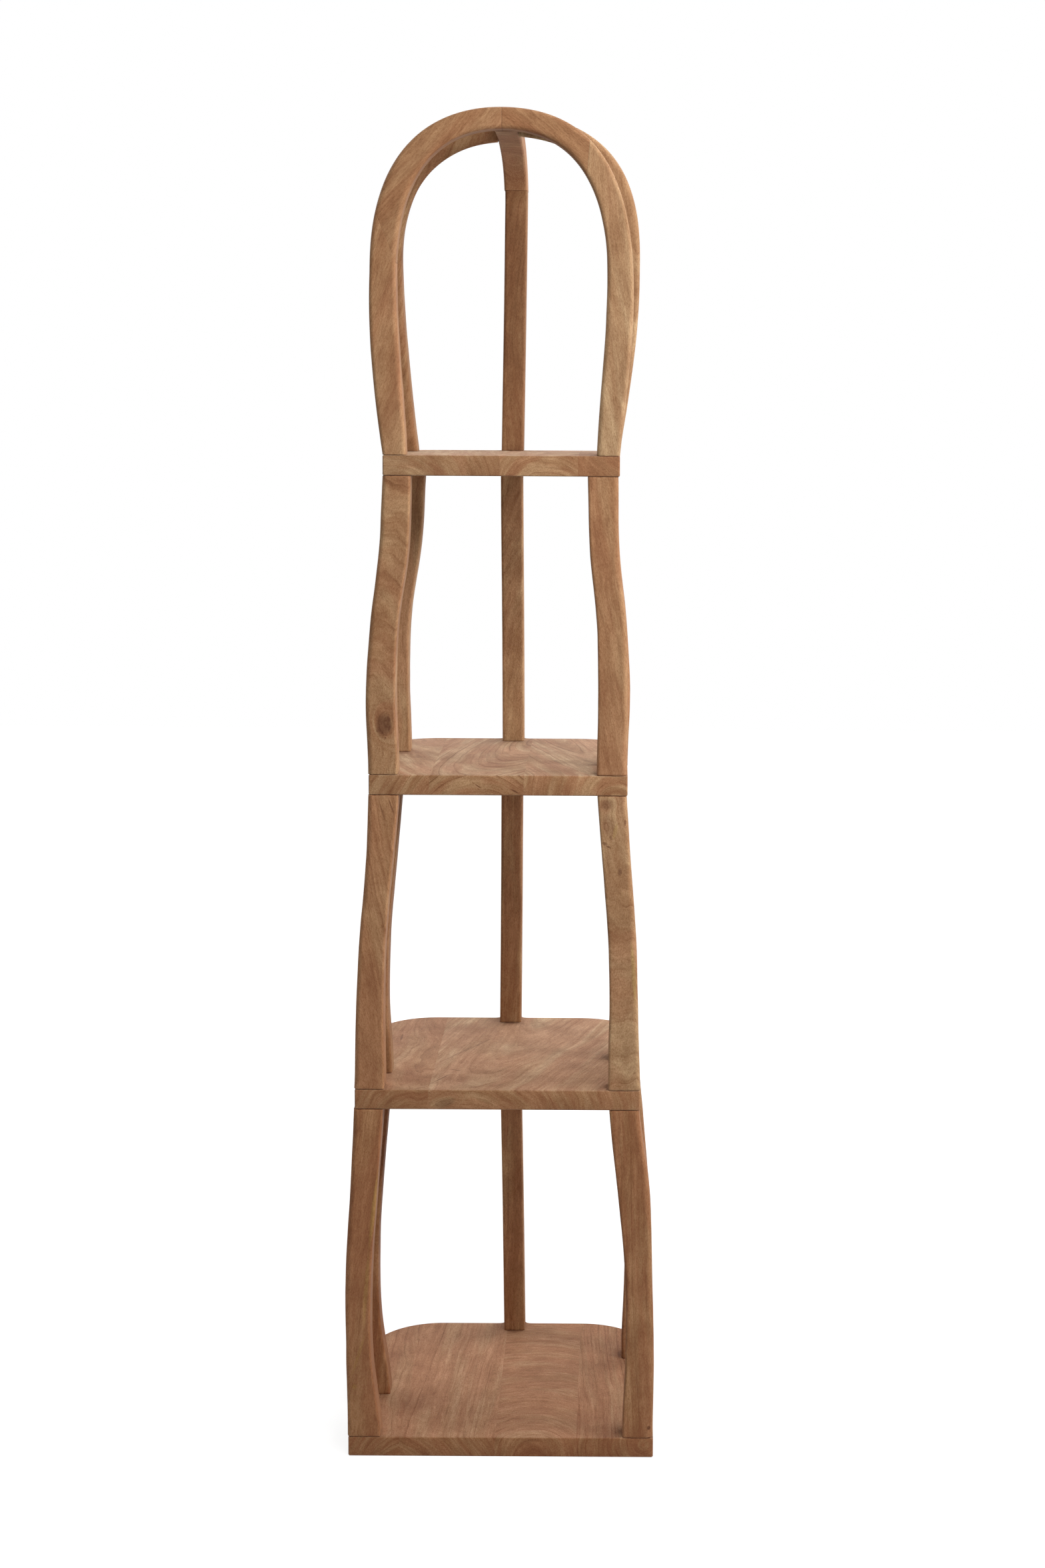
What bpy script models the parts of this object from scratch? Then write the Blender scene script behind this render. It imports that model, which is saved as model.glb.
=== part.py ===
"""Wooden display shelf: four edge-glued boards on wavy sawn posts, under a crown of arches.

Metres, +Z up, the front looks towards -Y. The front faces of the boards, front posts and
front arch all lie in one upright plane, and the boards get smaller from bottom to top.
"""

import math
from collections import namedtuple

import bmesh
import bpy
from mathutils import Matrix, Vector

MM = 0.001

# Boards, from the floor up. Shift is the board's centre to the right of the shelf's centre line.
# Seams are the glue lines between its staves, measured from the board's centre.
Board = namedtuple("Board", "name width depth corner shift seams")
BOARDS = (
    Board("bottom_shelf", 412 * MM, 408 * MM, 102 * MM, 2.7 * MM, (-137 * MM, -8 * MM, 102 * MM)),
    Board("second_shelf", 381 * MM, 382 * MM, 86 * MM, -2.5 * MM, (-92 * MM,)),
    Board("third_shelf", 342 * MM, 350 * MM, 72 * MM, -2.0 * MM, (-91 * MM, 34 * MM)),
    Board("top_shelf", 310 * MM, 310 * MM, 58 * MM, 1.5 * MM, (-2 * MM, 100 * MM)),
)
BOARD_THICKNESS = 27 * MM
BOARD_ROUND = 2 * MM
TONGUE = 5 * MM          # the board's back edge stands out this far behind the back post
TONGUE_FILLET = 9 * MM   # length of the hollow curve on both sides of it

# Clear heights between the boards, and from the top board to the top of the crown.
TIERS = ("bottom", "middle", "upper")
TIER_HEIGHTS = (452 * MM, 397 * MM, 394 * MM)
CROWN_HEIGHT = 449 * MM

# Posts are sawn from planks: their faces are flat and their edges wave.
POST_THICKNESS = 34 * MM
BACK_POST_THICKNESS = 31 * MM
POST_ROUND = 3.5 * MM
SAW_ALLOWANCE = 14 * MM  # every blank is longer than the piece, which is then sawn to length
GLUE_GAP = 0.3 * MM

# Each post's profile at its foot, quarter, middle, three quarters and top: how far its outer
# edge stands outside the straight line between the two boards' edges, and how wide it is.
Post = namedtuple("Post", "name side outer width")
LEFT, RIGHT, BACK = -1, 1, 0
POSTS = (
    (
        Post("front_left", LEFT, (1, 5.6, 8.6, 4.6, 1.5), (46.9, 40.6, 38.3, 35.1, 40.5)),
        Post("front_right", RIGHT, (0, 5.8, 8.1, 9.0, -1.0), (40.5, 41.3, 37.7, 43.2, 39.5)),
        Post("side_left", LEFT, (0, 8, 12, 8, 1), (44, 35.3, 35.5, 36.5, 36)),
        Post("side_right", RIGHT, (0, 6, 8.8, 5, 0), (42.6, 40, 36, 37, 38)),
        Post("back", BACK, (0, 6, 9, 6, 0), (36, 34, 33, 34, 35)),
    ),
    (
        Post("front_left", LEFT, (1, 3.6, 3.9, 0.1, 0.8), (42.7, 39.8, 37, 35.4, 40.7)),
        Post("front_right", RIGHT, (0.8, 2, 3.7, 1, -0.8), (43.3, 38.8, 37.8, 37.9, 39.2)),
        Post("side_left", LEFT, (0, 4, 5, 2, 0), (42.7, 36.8, 35.3, 36.1, 37.5)),
        Post("side_right", RIGHT, (0, 0.8, 2, -1, -2), (43, 37, 35, 36, 38)),
        Post("back", BACK, (0, 4, 5, 2, 0), (35, 34, 33, 34, 35)),
    ),
    (
        Post("front_left", LEFT, (1, 9, 7.7, 0.8, 0.6), (39.6, 39.7, 36.8, 38.9, 37.6)),
        Post("front_right", RIGHT, (-0.5, 2.5, 3.8, -3, -1.8), (40.5, 39.1, 39.2, 39, 40.4)),
        Post("side_left", LEFT, (0, 8, 7, 0, 0), (37.8, 38.1, 35.5, 38, 38.9)),
        Post("side_right", RIGHT, (0.3, 6.4, 4.2, -3, -1.9), (40, 37, 37, 39, 39)),
        Post("back", BACK, (0, 7, 6, 0, 0), (35, 34, 33, 34, 35)),
    ),
)
ROWS = 13  # points along each edge of a post

# The side posts stand at unlike depths on their boards: front face behind the front plane.
SIDE_POST_DEPTHS = {"side_left": (140 * MM, 79 * MM, 209 * MM), "side_right": (272 * MM, 146 * MM, 85 * MM)}
# The back posts lean a little: centre of the foot and of the top, to the right of the centre line.
BACK_POST_LINE = ((5.5 * MM, -1.2 * MM), (-0.3 * MM, 2.8 * MM), (4.3 * MM, 3.0 * MM), (4.2 * MM, 9.2 * MM))

# An arch's edge runs from its foot over its widest point to the crown's top as two cubic curves.
# Foot and reach are measured outwards from the top board's side edge, and top down from the
# crown's top. The pulls are the lengths of the curves' handles.
ArchEdge = namedtuple("ArchEdge", "foot flare pull_foot pull_down reach shoulder pull_up pull_top top")
FRONT_OUTER = ArchEdge(0, 5.6 * MM, 57 * MM, 72 * MM, 17 * MM, 210 * MM, 166 * MM, 111 * MM, 0)
FRONT_INNER = ArchEdge(-30.5 * MM, 1.6 * MM, 63 * MM, 92 * MM, -18 * MM, 235 * MM, 110 * MM, 96 * MM, 28.5 * MM)
SIDE_TOP = 3 * MM
SIDE_BAND = 29 * MM  # width of a side arch at its foot and at the crown's top
SIDE_OUTER = {
    LEFT: ArchEdge(0, 12 * MM, 29 * MM, 45 * MM, 23 * MM, 257 * MM, 84 * MM, 145 * MM, SIDE_TOP),
    RIGHT: ArchEdge(0, 2 * MM, 29 * MM, 98 * MM, 25 * MM, 235 * MM, 60 * MM, 192 * MM, SIDE_TOP),
}
SIDE_INNER = {
    LEFT: ArchEdge(
        -SIDE_BAND, 4 * MM, 32 * MM, 83 * MM, -12 * MM, 258 * MM, 144 * MM, 54 * MM, SIDE_TOP + SIDE_BAND
    ),
    RIGHT: ArchEdge(
        -SIDE_BAND, -1 * MM, 68 * MM, 166 * MM, -9 * MM, 271 * MM, 67 * MM, 128 * MM, SIDE_TOP + SIDE_BAND
    ),
}
ARCH_STEPS = 10  # points along each of an edge's two curves

# The side arches lean forward: front face at the foot and at the crown's top, behind the front plane.
SIDE_ARCH_DEPTHS = {LEFT: (213 * MM, 108 * MM), RIGHT: (88 * MM, 39 * MM)}

# The front arch's scarf joints: a point on each, left and right of the centre, and its slope.
LEFT_SCARF = (-141 * MM, 258 * MM, math.radians(68))
RIGHT_SCARF = (112 * MM, 386 * MM, math.radians(86))

# The spine runs forward from the crown's back post to the front arch.
SPINE_THICKNESS = 32 * MM
SPINE_FRONT_X = 5.6 * MM
SPINE_DROP = 85 * MM          # from the crown's top down to the seam on the back post
SPINE_BEND_DROP = 110 * MM    # height below the crown's top at which the bend starts
SPINE_OUTER_PULLS = (75 * MM, 170 * MM)
SPINE_INNER_PULLS = (50 * MM, 150 * MM)
CROWN_BACK = Post("crown_back", BACK, (0, 2, 4, 2, -3), (36, 35, 35, 35, 36))

# Round dowels hold the posts. They sit in bores that are a little larger and longer.
DOWEL_RADIUS = 5 * MM
DOWEL_IN_POST = 30 * MM
DOWEL_IN_BOARD = 18 * MM
DOWEL_SIDES = 10
DOWEL_CHAMFER = 0.8 * MM
BORE_END = 1 * MM

# Round tenons, cut on the piece itself, join the crown's members.
TENON_RADIUS = 6 * MM
TENON_LENGTH = 13 * MM
TENON_ROOT = 8 * MM

POST_COLOUR = (0.345, 0.195, 0.105)
BOARD_COLOUR = (0.375, 0.205, 0.125)
CROWN_COLOUR = (0.375, 0.215, 0.105)
BACK_COLOUR = (0.230, 0.120, 0.068)
DOWEL_COLOUR = (0.520, 0.360, 0.200)
WOOD_ROUGHNESS = 0.55

FAR = 0.9  # half the size of a cutter that only has to be larger than any piece


def clear_scene():
    for item in list(bpy.data.objects):
        bpy.data.objects.remove(item, do_unlink=True)


def new_collection(name, parent=None):
    made = bpy.data.collections.new(name)
    (parent or bpy.context.scene.collection).children.link(made)
    return made


def board_top(level):
    """Height of the upper face of a board, counted from 0 at the floor."""
    return BOARD_THICKNESS * (level + 1) + sum(TIER_HEIGHTS[:level])


def board_edge(level, side):
    """X of a board's left or right edge."""
    board = BOARDS[level]
    return board.shift + side * board.width / 2


def seat_depth(level):
    """Y of the back face of a back post where it stands on a board."""
    return BOARDS[level].depth + TONGUE


def crown_top():
    return board_top(len(BOARDS) - 1) + CROWN_HEIGHT


def wave(values, share):
    """Smooth curve through evenly spaced values, with each slope taken from both neighbours."""
    last = len(values) - 1
    place = min(max(share, 0), 1) * last
    at = min(int(place), last - 1)
    t = place - at
    before = values[max(at - 1, 0)]
    start, end = values[at], values[at + 1]
    after = values[min(at + 2, last)]
    slope_in, slope_out = (end - before) / 2, (after - start) / 2
    return (
        (2 * t**3 - 3 * t**2 + 1) * start + (t**3 - 2 * t**2 + t) * slope_in
        + (3 * t**2 - 2 * t**3) * end + (t**3 - t**2) * slope_out
    )


def cubic(p0, p1, p2, p3, steps):
    """Points along a cubic curve, both ends included."""
    p0, p1, p2, p3 = (Vector(p) for p in (p0, p1, p2, p3))
    points = []
    for i in range(steps + 1):
        t = i / steps
        points.append((1 - t)**3 * p0 + 3 * (1 - t)**2 * t * p1 + 3 * (1 - t) * t * t * p2 + t**3 * p3)
    return points


def wood(name, colour):
    """Plain oiled wood, a material of its own for each piece."""
    material = bpy.data.materials.new(name)
    material.use_nodes = True
    shader = material.node_tree.nodes["Principled BSDF"]
    shader.inputs["Base Color"].default_value = (*colour, 1)
    shader.inputs["Roughness"].default_value = WOOD_ROUGHNESS
    shader.inputs["Metallic"].default_value = 0
    material.diffuse_color = (*colour, 1)
    return material


class Shelf:
    """The collections and the empty that carries every piece."""

    def __init__(self):
        self.parts = new_collection("display_shelf")
        self.cutters = new_collection("cutters")
        self.bores = [new_collection(f"bores_{board.name}", self.cutters) for board in BOARDS]
        self.centre = bpy.data.objects.new("centre", None)
        self.parts.objects.link(self.centre)


def add_mesh(collection, name, mesh, matrix, parent):
    item = bpy.data.objects.new(name, mesh)
    collection.objects.link(item)
    item.parent = parent
    item.matrix_world = matrix
    return item


def flat_blank(shelf, name, outline, thickness, matrix, colour, edge_round):
    """Saws a closed outline out of a plank that is as thick as given, and rounds its edges.

    The outline lies in the matrix's X and Y, and the plank's thickness along its Z.
    """
    curve = bpy.data.curves.new(name, "CURVE")
    curve.dimensions = "2D"
    curve.fill_mode = "BOTH"
    curve.extrude = thickness / 2
    spline = curve.splines.new("POLY")
    spline.points.add(len(outline) - 1)
    for point, (u, v) in zip(spline.points, outline):
        point.co = (u, v, 0, 1)
    spline.use_cyclic_u = True
    drawn = bpy.data.objects.new(name + "_outline", curve)
    bpy.context.scene.collection.objects.link(drawn)
    bpy.context.view_layer.update()
    mesh = bpy.data.meshes.new_from_object(drawn.evaluated_get(bpy.context.evaluated_depsgraph_get()))
    bpy.data.objects.remove(drawn, do_unlink=True)
    bpy.data.curves.remove(curve)
    shape = bmesh.new()
    shape.from_mesh(mesh)
    bmesh.ops.remove_doubles(shape, verts=shape.verts, dist=0.00001)
    bmesh.ops.dissolve_limit(shape, angle_limit=0.001, verts=shape.verts, edges=shape.edges)
    bmesh.ops.recalc_face_normals(shape, faces=shape.faces)
    shape.to_mesh(mesh)
    shape.free()
    mesh.name = name
    mesh.materials.append(wood(name, colour))
    item = add_mesh(shelf.parts, name, mesh, matrix, shelf.centre)
    bevel = item.modifiers.new("rounded_edges", "BEVEL")
    bevel.width = edge_round
    bevel.segments = 2
    bevel.limit_method = "ANGLE"
    bevel.angle_limit = math.radians(50)
    return item


def cutter(shelf, name, mesh, matrix, collection=None):
    item = add_mesh(collection or shelf.cutters, name, mesh, matrix, shelf.centre)
    item.hide_render = True
    item.display_type = "WIRE"
    return item


def box_mesh(name, low, high):
    """A box between two corners."""
    shape = bmesh.new()
    bmesh.ops.create_cube(shape, size=1)
    low, high = Vector(low), Vector(high)
    for vert in shape.verts:
        vert.co = Vector((low[i] if vert.co[i] < 0 else high[i]) for i in range(3))
    mesh = bpy.data.meshes.new(name)
    shape.to_mesh(mesh)
    shape.free()
    return mesh


def rod_mesh(name, radius, length, sides):
    """A round rod along Z, from its origin upwards."""
    shape = bmesh.new()
    bmesh.ops.create_cone(
        shape, cap_ends=True, segments=sides, radius1=radius, radius2=radius, depth=length,
        matrix=Matrix.Translation((0, 0, length / 2)),
    )
    mesh = bpy.data.meshes.new(name)
    shape.to_mesh(mesh)
    shape.free()
    return mesh


def combine(item, operation, other):
    """Adds a Boolean with an object or with a whole collection."""
    step = item.modifiers.new(other.name, "BOOLEAN")
    step.operation = operation
    step.solver = "EXACT"
    if isinstance(other, bpy.types.Collection):
        step.operand_type = "COLLECTION"
        step.collection = other
    else:
        step.object = other


def keep_between(shelf, item, low, high, matrix=None):
    """Saws off what lies outside a box."""
    name = "saw_" + item.name + str(len(item.modifiers))
    combine(item, "INTERSECT", cutter(shelf, name, box_mesh(name, low, high), matrix or Matrix()))


def board_outline(level):
    """Square front corners, round back corners, and a tongue that carries the back post."""
    board = BOARDS[level]
    half, deep, r = board.width / 2, board.depth, board.corner
    points = [(-half, 0), (half, 0)]
    corner_steps = 7
    for i in range(corner_steps + 1):
        angle = math.pi / 2 * i / corner_steps
        points.append((half - r + r * math.cos(angle), deep - r + r * math.sin(angle)))
    seat = back_line(level)[0] - board.shift
    reach = BACK_POST_THICKNESS / 2 + 1 * MM
    fillet_steps = 3
    fillet = []
    for i in range(fillet_steps + 1):
        angle = math.pi / 2 * i / fillet_steps
        fillet.append((reach + TONGUE_FILLET * (1 - math.sin(angle)), TONGUE * (1 - math.cos(angle))))
    points += [(seat + x, deep + y) for x, y in fillet]
    points += [(seat - x, deep + y) for x, y in reversed(fillet)]
    for i in range(corner_steps + 1):
        angle = math.pi / 2 * i / corner_steps
        points.append((-half + r - r * math.sin(angle), deep - r + r * math.cos(angle)))
    return [(board.shift + x, y) for x, y in points]


def back_line(level):
    """X of the centre of the back post's foot and top in a tier, the crown being the last."""
    return BACK_POST_LINE[level]


def make_boards(shelf):
    """Each board is sawn into its staves along the glue lines."""
    for level, board in enumerate(BOARDS):
        middle = Matrix.Translation((0, 0, board_top(level) - BOARD_THICKNESS / 2))
        edges = [-FAR] + [board.shift + seam for seam in board.seams] + [FAR]
        for i, (left, right) in enumerate(zip(edges, edges[1:]), 1):
            stave = flat_blank(
                shelf, f"{board.name}_stave_{i}", board_outline(level), BOARD_THICKNESS, middle,
                BOARD_COLOUR, BOARD_ROUND,
            )
            keep_between(
                shelf, stave, (left + GLUE_GAP / 2, -FAR, 0), (right - GLUE_GAP / 2, FAR, FAR * 2),
            )
            combine(stave, "DIFFERENCE", shelf.bores[level])


def post_outline(post, foot_edge, top_edge, height):
    """The wavy profile of a post, with a saw allowance at both ends."""
    side = post.side or 1
    outer, inner = [], []
    for row in range(-1, ROWS + 1):
        share = row / (ROWS - 1)
        up = height * min(max(share, 0), 1)
        if row == -1:
            up = -SAW_ALLOWANCE
        if row == ROWS:
            up = height + SAW_ALLOWANCE
        share = min(max(share, 0), 1)
        edge = foot_edge + (top_edge - foot_edge) * share + side * wave(post.outer, share) * MM
        outer.append((edge, up))
        inner.append((edge - side * wave(post.width, share) * MM, up))
    return outer + inner[::-1]


def across(depth, foot):
    """Stands an outline up across the front: its X stays, its Y goes up, at a given depth."""
    return Matrix.Translation((0, depth, foot)) @ Matrix.Rotation(math.pi / 2, 4, "X")


def fore_and_aft(x, foot, lean):
    """Stands an outline up from front to back: its X goes back, its Y goes up."""
    turn = Matrix.Rotation(math.pi / 2, 4, "Z") @ Matrix.Rotation(math.pi / 2, 4, "X")
    return Matrix.Translation((x, 0, foot)) @ Matrix.Rotation(lean, 4, "Y") @ turn


def post_depth(post, tier):
    """Y of the middle of a front or side post."""
    front = SIDE_POST_DEPTHS[post.name][tier] if post.name in SIDE_POST_DEPTHS else 0
    return front + POST_THICKNESS / 2


def make_posts(shelf):
    for tier, posts in enumerate(POSTS):
        foot, height = board_top(tier), TIER_HEIGHTS[tier]
        for post in posts:
            if post.side == BACK:
                outline = post_outline(post, seat_depth(tier), seat_depth(tier + 1), height)
                foot_x, top_x = back_line(tier)
                lean = math.atan((top_x - foot_x) / height)
                matrix, thickness = fore_and_aft(foot_x, foot, lean), BACK_POST_THICKNESS
                colour = BACK_COLOUR
            else:
                ends = (board_edge(tier, post.side), board_edge(tier + 1, post.side))
                outline = post_outline(post, *ends, height)
                matrix, thickness = across(post_depth(post, tier), foot), POST_THICKNESS
                colour = POST_COLOUR
            name = f"{TIERS[tier]}_{post.name}_post"
            item = flat_blank(shelf, name, outline, thickness, matrix, colour, POST_ROUND)
            keep_between(shelf, item, (-FAR, -FAR, foot + GLUE_GAP), (FAR, FAR, foot + height - GLUE_GAP))
            combine(item, "DIFFERENCE", shelf.bores[tier])
            combine(item, "DIFFERENCE", shelf.bores[tier + 1])


def arch_edge(edge, half, height):
    """An arch's edge from its foot to the crown's top, in distances from the centre line."""
    foot, reach = half + edge.foot, half + edge.reach
    top = height - edge.top
    lower = cubic(
        (foot, 0), (foot + edge.flare, edge.pull_foot), (reach, edge.shoulder - edge.pull_down),
        (reach, edge.shoulder), ARCH_STEPS,
    )
    upper = cubic(
        (reach, edge.shoulder), (reach, edge.shoulder + edge.pull_up), (edge.pull_top, top), (0, top),
        ARCH_STEPS,
    )
    allowance = SAW_ALLOWANCE
    return [(foot, -allowance)] + [tuple(p) for p in lower[:-1] + upper] + [(-allowance, top)]


def half_arch(outer, inner, side, height):
    """One half of an arch, on the left or the right of the top board's centre."""
    board = BOARDS[-1]
    points = arch_edge(outer, board.width / 2, height) + arch_edge(inner, board.width / 2, height)[::-1]
    return [(board.shift + side * u, v) for u, v in points]


def scarf_plane(scarf, side):
    """A frame on a scarf joint of the front arch, with its X across the joint and away from the centre."""
    x, up, slope = scarf
    foot = board_top(len(BOARDS) - 1)
    centre = BOARDS[-1].shift
    tilt = math.pi / 2 - slope
    return Matrix.Translation((centre + x, 0, foot + up)) @ Matrix.Rotation(side * tilt, 4, "Y")


def make_front_arch(shelf):
    """Each half is a top piece scarfed to a leg, and the halves meet at the crown's top."""
    foot = board_top(len(BOARDS) - 1)
    centre = BOARDS[-1].shift
    for side, word, scarf in ((LEFT, "left", LEFT_SCARF), (RIGHT, "right", RIGHT_SCARF)):
        outline = half_arch(FRONT_OUTER, FRONT_INNER, side, CROWN_HEIGHT)
        joint = scarf_plane(scarf, side)
        for piece in ("top", "leg"):
            name = f"crown_front_arch_{word}_{piece}"
            item = flat_blank(
                shelf, name, outline, POST_THICKNESS, across(POST_THICKNESS / 2, foot), CROWN_COLOUR, POST_ROUND
            )
            near = centre + side * GLUE_GAP / 2
            low, high = sorted((near, centre + side * FAR))
            keep_between(shelf, item, (low, -FAR, foot + GLUE_GAP), (high, FAR, FAR * 3))
            outside = piece == "leg"
            reach = sorted((side * GLUE_GAP / 2, side * FAR) if outside else (-side * GLUE_GAP / 2, -side * FAR))
            keep_between(shelf, item, (reach[0], -FAR, -FAR), (reach[1], FAR, FAR), joint)
            if outside:
                combine(item, "DIFFERENCE", shelf.bores[-1])


def spine_frame():
    """The spine's own frame: its Y runs back along the spine, from the front arch's back face."""
    top = crown_top()
    back_x = back_line(len(TIERS))[1]
    run = seat_depth(len(BOARDS) - 1) - POST_THICKNESS
    turn = -math.atan((back_x - SPINE_FRONT_X) / run)
    return Matrix.Translation((SPINE_FRONT_X, POST_THICKNESS, top)) @ Matrix.Rotation(turn, 4, "Z")


def spine_outline():
    """The crown's back member from the top board to the front arch, sawn later at the seam.

    Its X is the depth behind the front arch, and its Y the height above the crown's top.
    """
    level = len(BOARDS) - 1
    seat = seat_depth(level) - POST_THICKNESS
    foot = board_top(level) - crown_top()
    bend = -SPINE_BEND_DROP
    post = CROWN_BACK
    outer = [(seat, foot - SAW_ALLOWANCE)]
    inner = [(seat - post.width[0] * MM, foot - SAW_ALLOWANCE)]
    rows = 8
    for row in range(rows):
        share = row / rows
        edge = seat + wave(post.outer, share) * MM
        outer.append((edge, foot + (bend - foot) * share))
        inner.append((edge - wave(post.width, share) * MM, foot + (bend - foot) * share))
    back = seat + post.outer[-1] * MM
    front = back - post.width[-1] * MM
    up_outer, in_outer = SPINE_OUTER_PULLS
    up_inner, in_inner = SPINE_INNER_PULLS
    band = FRONT_INNER.top
    outer += [tuple(p) for p in cubic((back, bend), (back, bend + up_outer), (in_outer, 0), (0, 0), 9)]
    inner += [tuple(p) for p in cubic((front, bend), (front, bend + up_inner), (in_inner, -band), (0, -band), 9)]
    return outer + [(-SAW_ALLOWANCE, 0), (-SAW_ALLOWANCE, -band)] + inner[::-1]


def tenon(shelf, item, socket, matrix):
    """Adds a round tenon along the matrix's Z to one piece and bores its socket into the other."""
    name = "tenon_" + item.name
    root = matrix @ Matrix.Translation((0, 0, -TENON_ROOT))
    length = TENON_ROOT + TENON_LENGTH
    combine(item, "UNION", cutter(shelf, name, rod_mesh(name, TENON_RADIUS, length, 12), root))
    name = "socket_" + item.name
    bore = rod_mesh(name, TENON_RADIUS + GLUE_GAP, TENON_LENGTH + BORE_END + TENON_ROOT, 12)
    combine(socket, "DIFFERENCE", cutter(shelf, name, bore, root))


def make_spine(shelf):
    """The crown's back post and the spine are one curve in two pieces."""
    level = len(BOARDS) - 1
    foot = board_top(level)
    seam = crown_top() - SPINE_DROP
    frame = spine_frame()
    upright = frame @ Matrix.Rotation(math.pi / 2, 4, "Z") @ Matrix.Rotation(math.pi / 2, 4, "X")
    spine = flat_blank(shelf, "crown_spine", spine_outline(), SPINE_THICKNESS, upright, BACK_COLOUR, POST_ROUND)
    keep_between(shelf, spine, (-FAR, GLUE_GAP, -SPINE_DROP + GLUE_GAP / 2), (FAR, FAR, FAR), frame)
    foot_x, top_x = back_line(level)
    lean = math.atan((top_x - foot_x) / (seam - foot))
    stand = Matrix.Translation((foot_x, POST_THICKNESS, foot)) @ Matrix.Rotation(lean, 4, "Y")
    stand = stand @ Matrix.Translation((0, 0, crown_top() - foot))
    stand = stand @ Matrix.Rotation(math.pi / 2, 4, "Z") @ Matrix.Rotation(math.pi / 2, 4, "X")
    post = flat_blank(
        shelf, "crown_back_post", spine_outline(), BACK_POST_THICKNESS, stand, BACK_COLOUR, POST_ROUND
    )
    keep_between(shelf, post, (-FAR, -FAR, foot + GLUE_GAP), (FAR, FAR, seam - GLUE_GAP / 2))
    combine(post, "DIFFERENCE", shelf.bores[level])
    back = seat_depth(level) + (CROWN_BACK.outer[-1] - CROWN_BACK.width[-1] / 2) * MM
    tenon(shelf, post, spine, Matrix.Translation((top_x, back, seam)))
    return spine


def make_side_arches(shelf, spine):
    """Each leans forward from its foot and butts against the spine, with a tenon into it."""
    level = len(BOARDS) - 1
    foot = board_top(level)
    frame = spine_frame()
    reach = SPINE_THICKNESS / 2
    for side, word in ((LEFT, "left"), (RIGHT, "right")):
        foot_depth, top_depth = SIDE_ARCH_DEPTHS[side]
        lean = math.atan((foot_depth - top_depth) / CROWN_HEIGHT)
        slope_height = CROWN_HEIGHT / math.cos(lean)
        stand = Matrix.Translation((0, foot_depth + POST_THICKNESS / 2, foot))
        stand = stand @ Matrix.Rotation(lean, 4, "X") @ Matrix.Rotation(math.pi / 2, 4, "X")
        item = flat_blank(
            shelf, f"crown_side_arch_{word}", half_arch(SIDE_OUTER[side], SIDE_INNER[side], side, slope_height),
            POST_THICKNESS, stand, CROWN_COLOUR, POST_ROUND,
        )
        keep_between(shelf, item, (-FAR, -FAR, foot + GLUE_GAP), (FAR, FAR, FAR * 3))
        low, high = sorted((side * (reach + GLUE_GAP), side * FAR))
        keep_between(shelf, item, (low, -FAR, -FAR), (high, FAR, FAR), frame)
        combine(item, "DIFFERENCE", shelf.bores[-1])
        middle = SIDE_TOP + SIDE_BAND / 2
        back = top_depth + POST_THICKNESS / 2 - POST_THICKNESS + math.tan(lean) * middle
        seat = frame @ Matrix.Translation((side * reach, back, -middle)) @ Matrix.Rotation(-side * math.pi / 2, 4, "Y")
        tenon(shelf, item, spine, seat)


def make_spine_tenon(shelf, spine):
    """The spine's front end enters the right half of the front arch, beside the seam."""
    clear = BOARDS[-1].shift + TENON_RADIUS + 2 * MM
    middle = crown_top() - FRONT_INNER.top / 2
    seat = Matrix.Translation((clear, POST_THICKNESS + GLUE_GAP, middle)) @ Matrix.Rotation(math.pi / 2, 4, "X")
    tenon(shelf, spine, bpy.data.objects["crown_front_arch_right_top"], seat)


def make_apex_tenon(shelf):
    """The left half of the front arch enters the right half, in front of the spine's tenon."""
    middle = crown_top() - FRONT_INNER.top / 2
    seat = Matrix.Translation((BOARDS[-1].shift, TENON_RADIUS + 3 * MM, middle))
    seat = seat @ Matrix.Rotation(math.pi / 2, 4, "Y")
    left, right = (bpy.data.objects[f"crown_front_arch_{word}_top"] for word in ("left", "right"))
    tenon(shelf, left, right, seat)


def dowel(shelf, name, level, x, y, low, high):
    """A dowel between two heights, and its bore through whatever it crosses."""
    rod = rod_mesh(name, DOWEL_RADIUS, high - low, DOWEL_SIDES)
    rod.materials.append(wood(name, DOWEL_COLOUR))
    item = add_mesh(shelf.parts, name, rod, Matrix.Translation((x, y, low)), shelf.centre)
    chamfer = item.modifiers.new("chamfer", "BEVEL")
    chamfer.width = DOWEL_CHAMFER
    chamfer.segments = 1
    chamfer.limit_method = "ANGLE"
    chamfer.angle_limit = math.radians(60)
    bore_name = "bore_" + name
    bore = rod_mesh(bore_name, DOWEL_RADIUS + GLUE_GAP, high - low + 2 * BORE_END, DOWEL_SIDES)
    cutter(shelf, bore_name, bore, Matrix.Translation((x, y, low - BORE_END)), shelf.bores[level])


def post_middle(post, tier, end):
    """X and Y of the middle of a post's foot (end 0) or top (end 1)."""
    at = -1 if end else 0
    inset = (post.width[at] / 2 - post.outer[at]) * MM
    level = tier + end
    if post.side == BACK:
        return back_line(tier)[end], seat_depth(level) - inset
    return board_edge(level, post.side) - post.side * inset, post_depth(post, tier)


def arch_foot(side):
    """X and Y of the middle of a side arch's foot."""
    inset = SIDE_BAND / 2
    return board_edge(len(BOARDS) - 1, side) - side * inset, SIDE_ARCH_DEPTHS[side][0] + POST_THICKNESS / 2


def front_foot(side):
    inset = (FRONT_OUTER.foot - FRONT_INNER.foot) / 2
    return board_edge(len(BOARDS) - 1, side) - side * inset, POST_THICKNESS / 2


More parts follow.
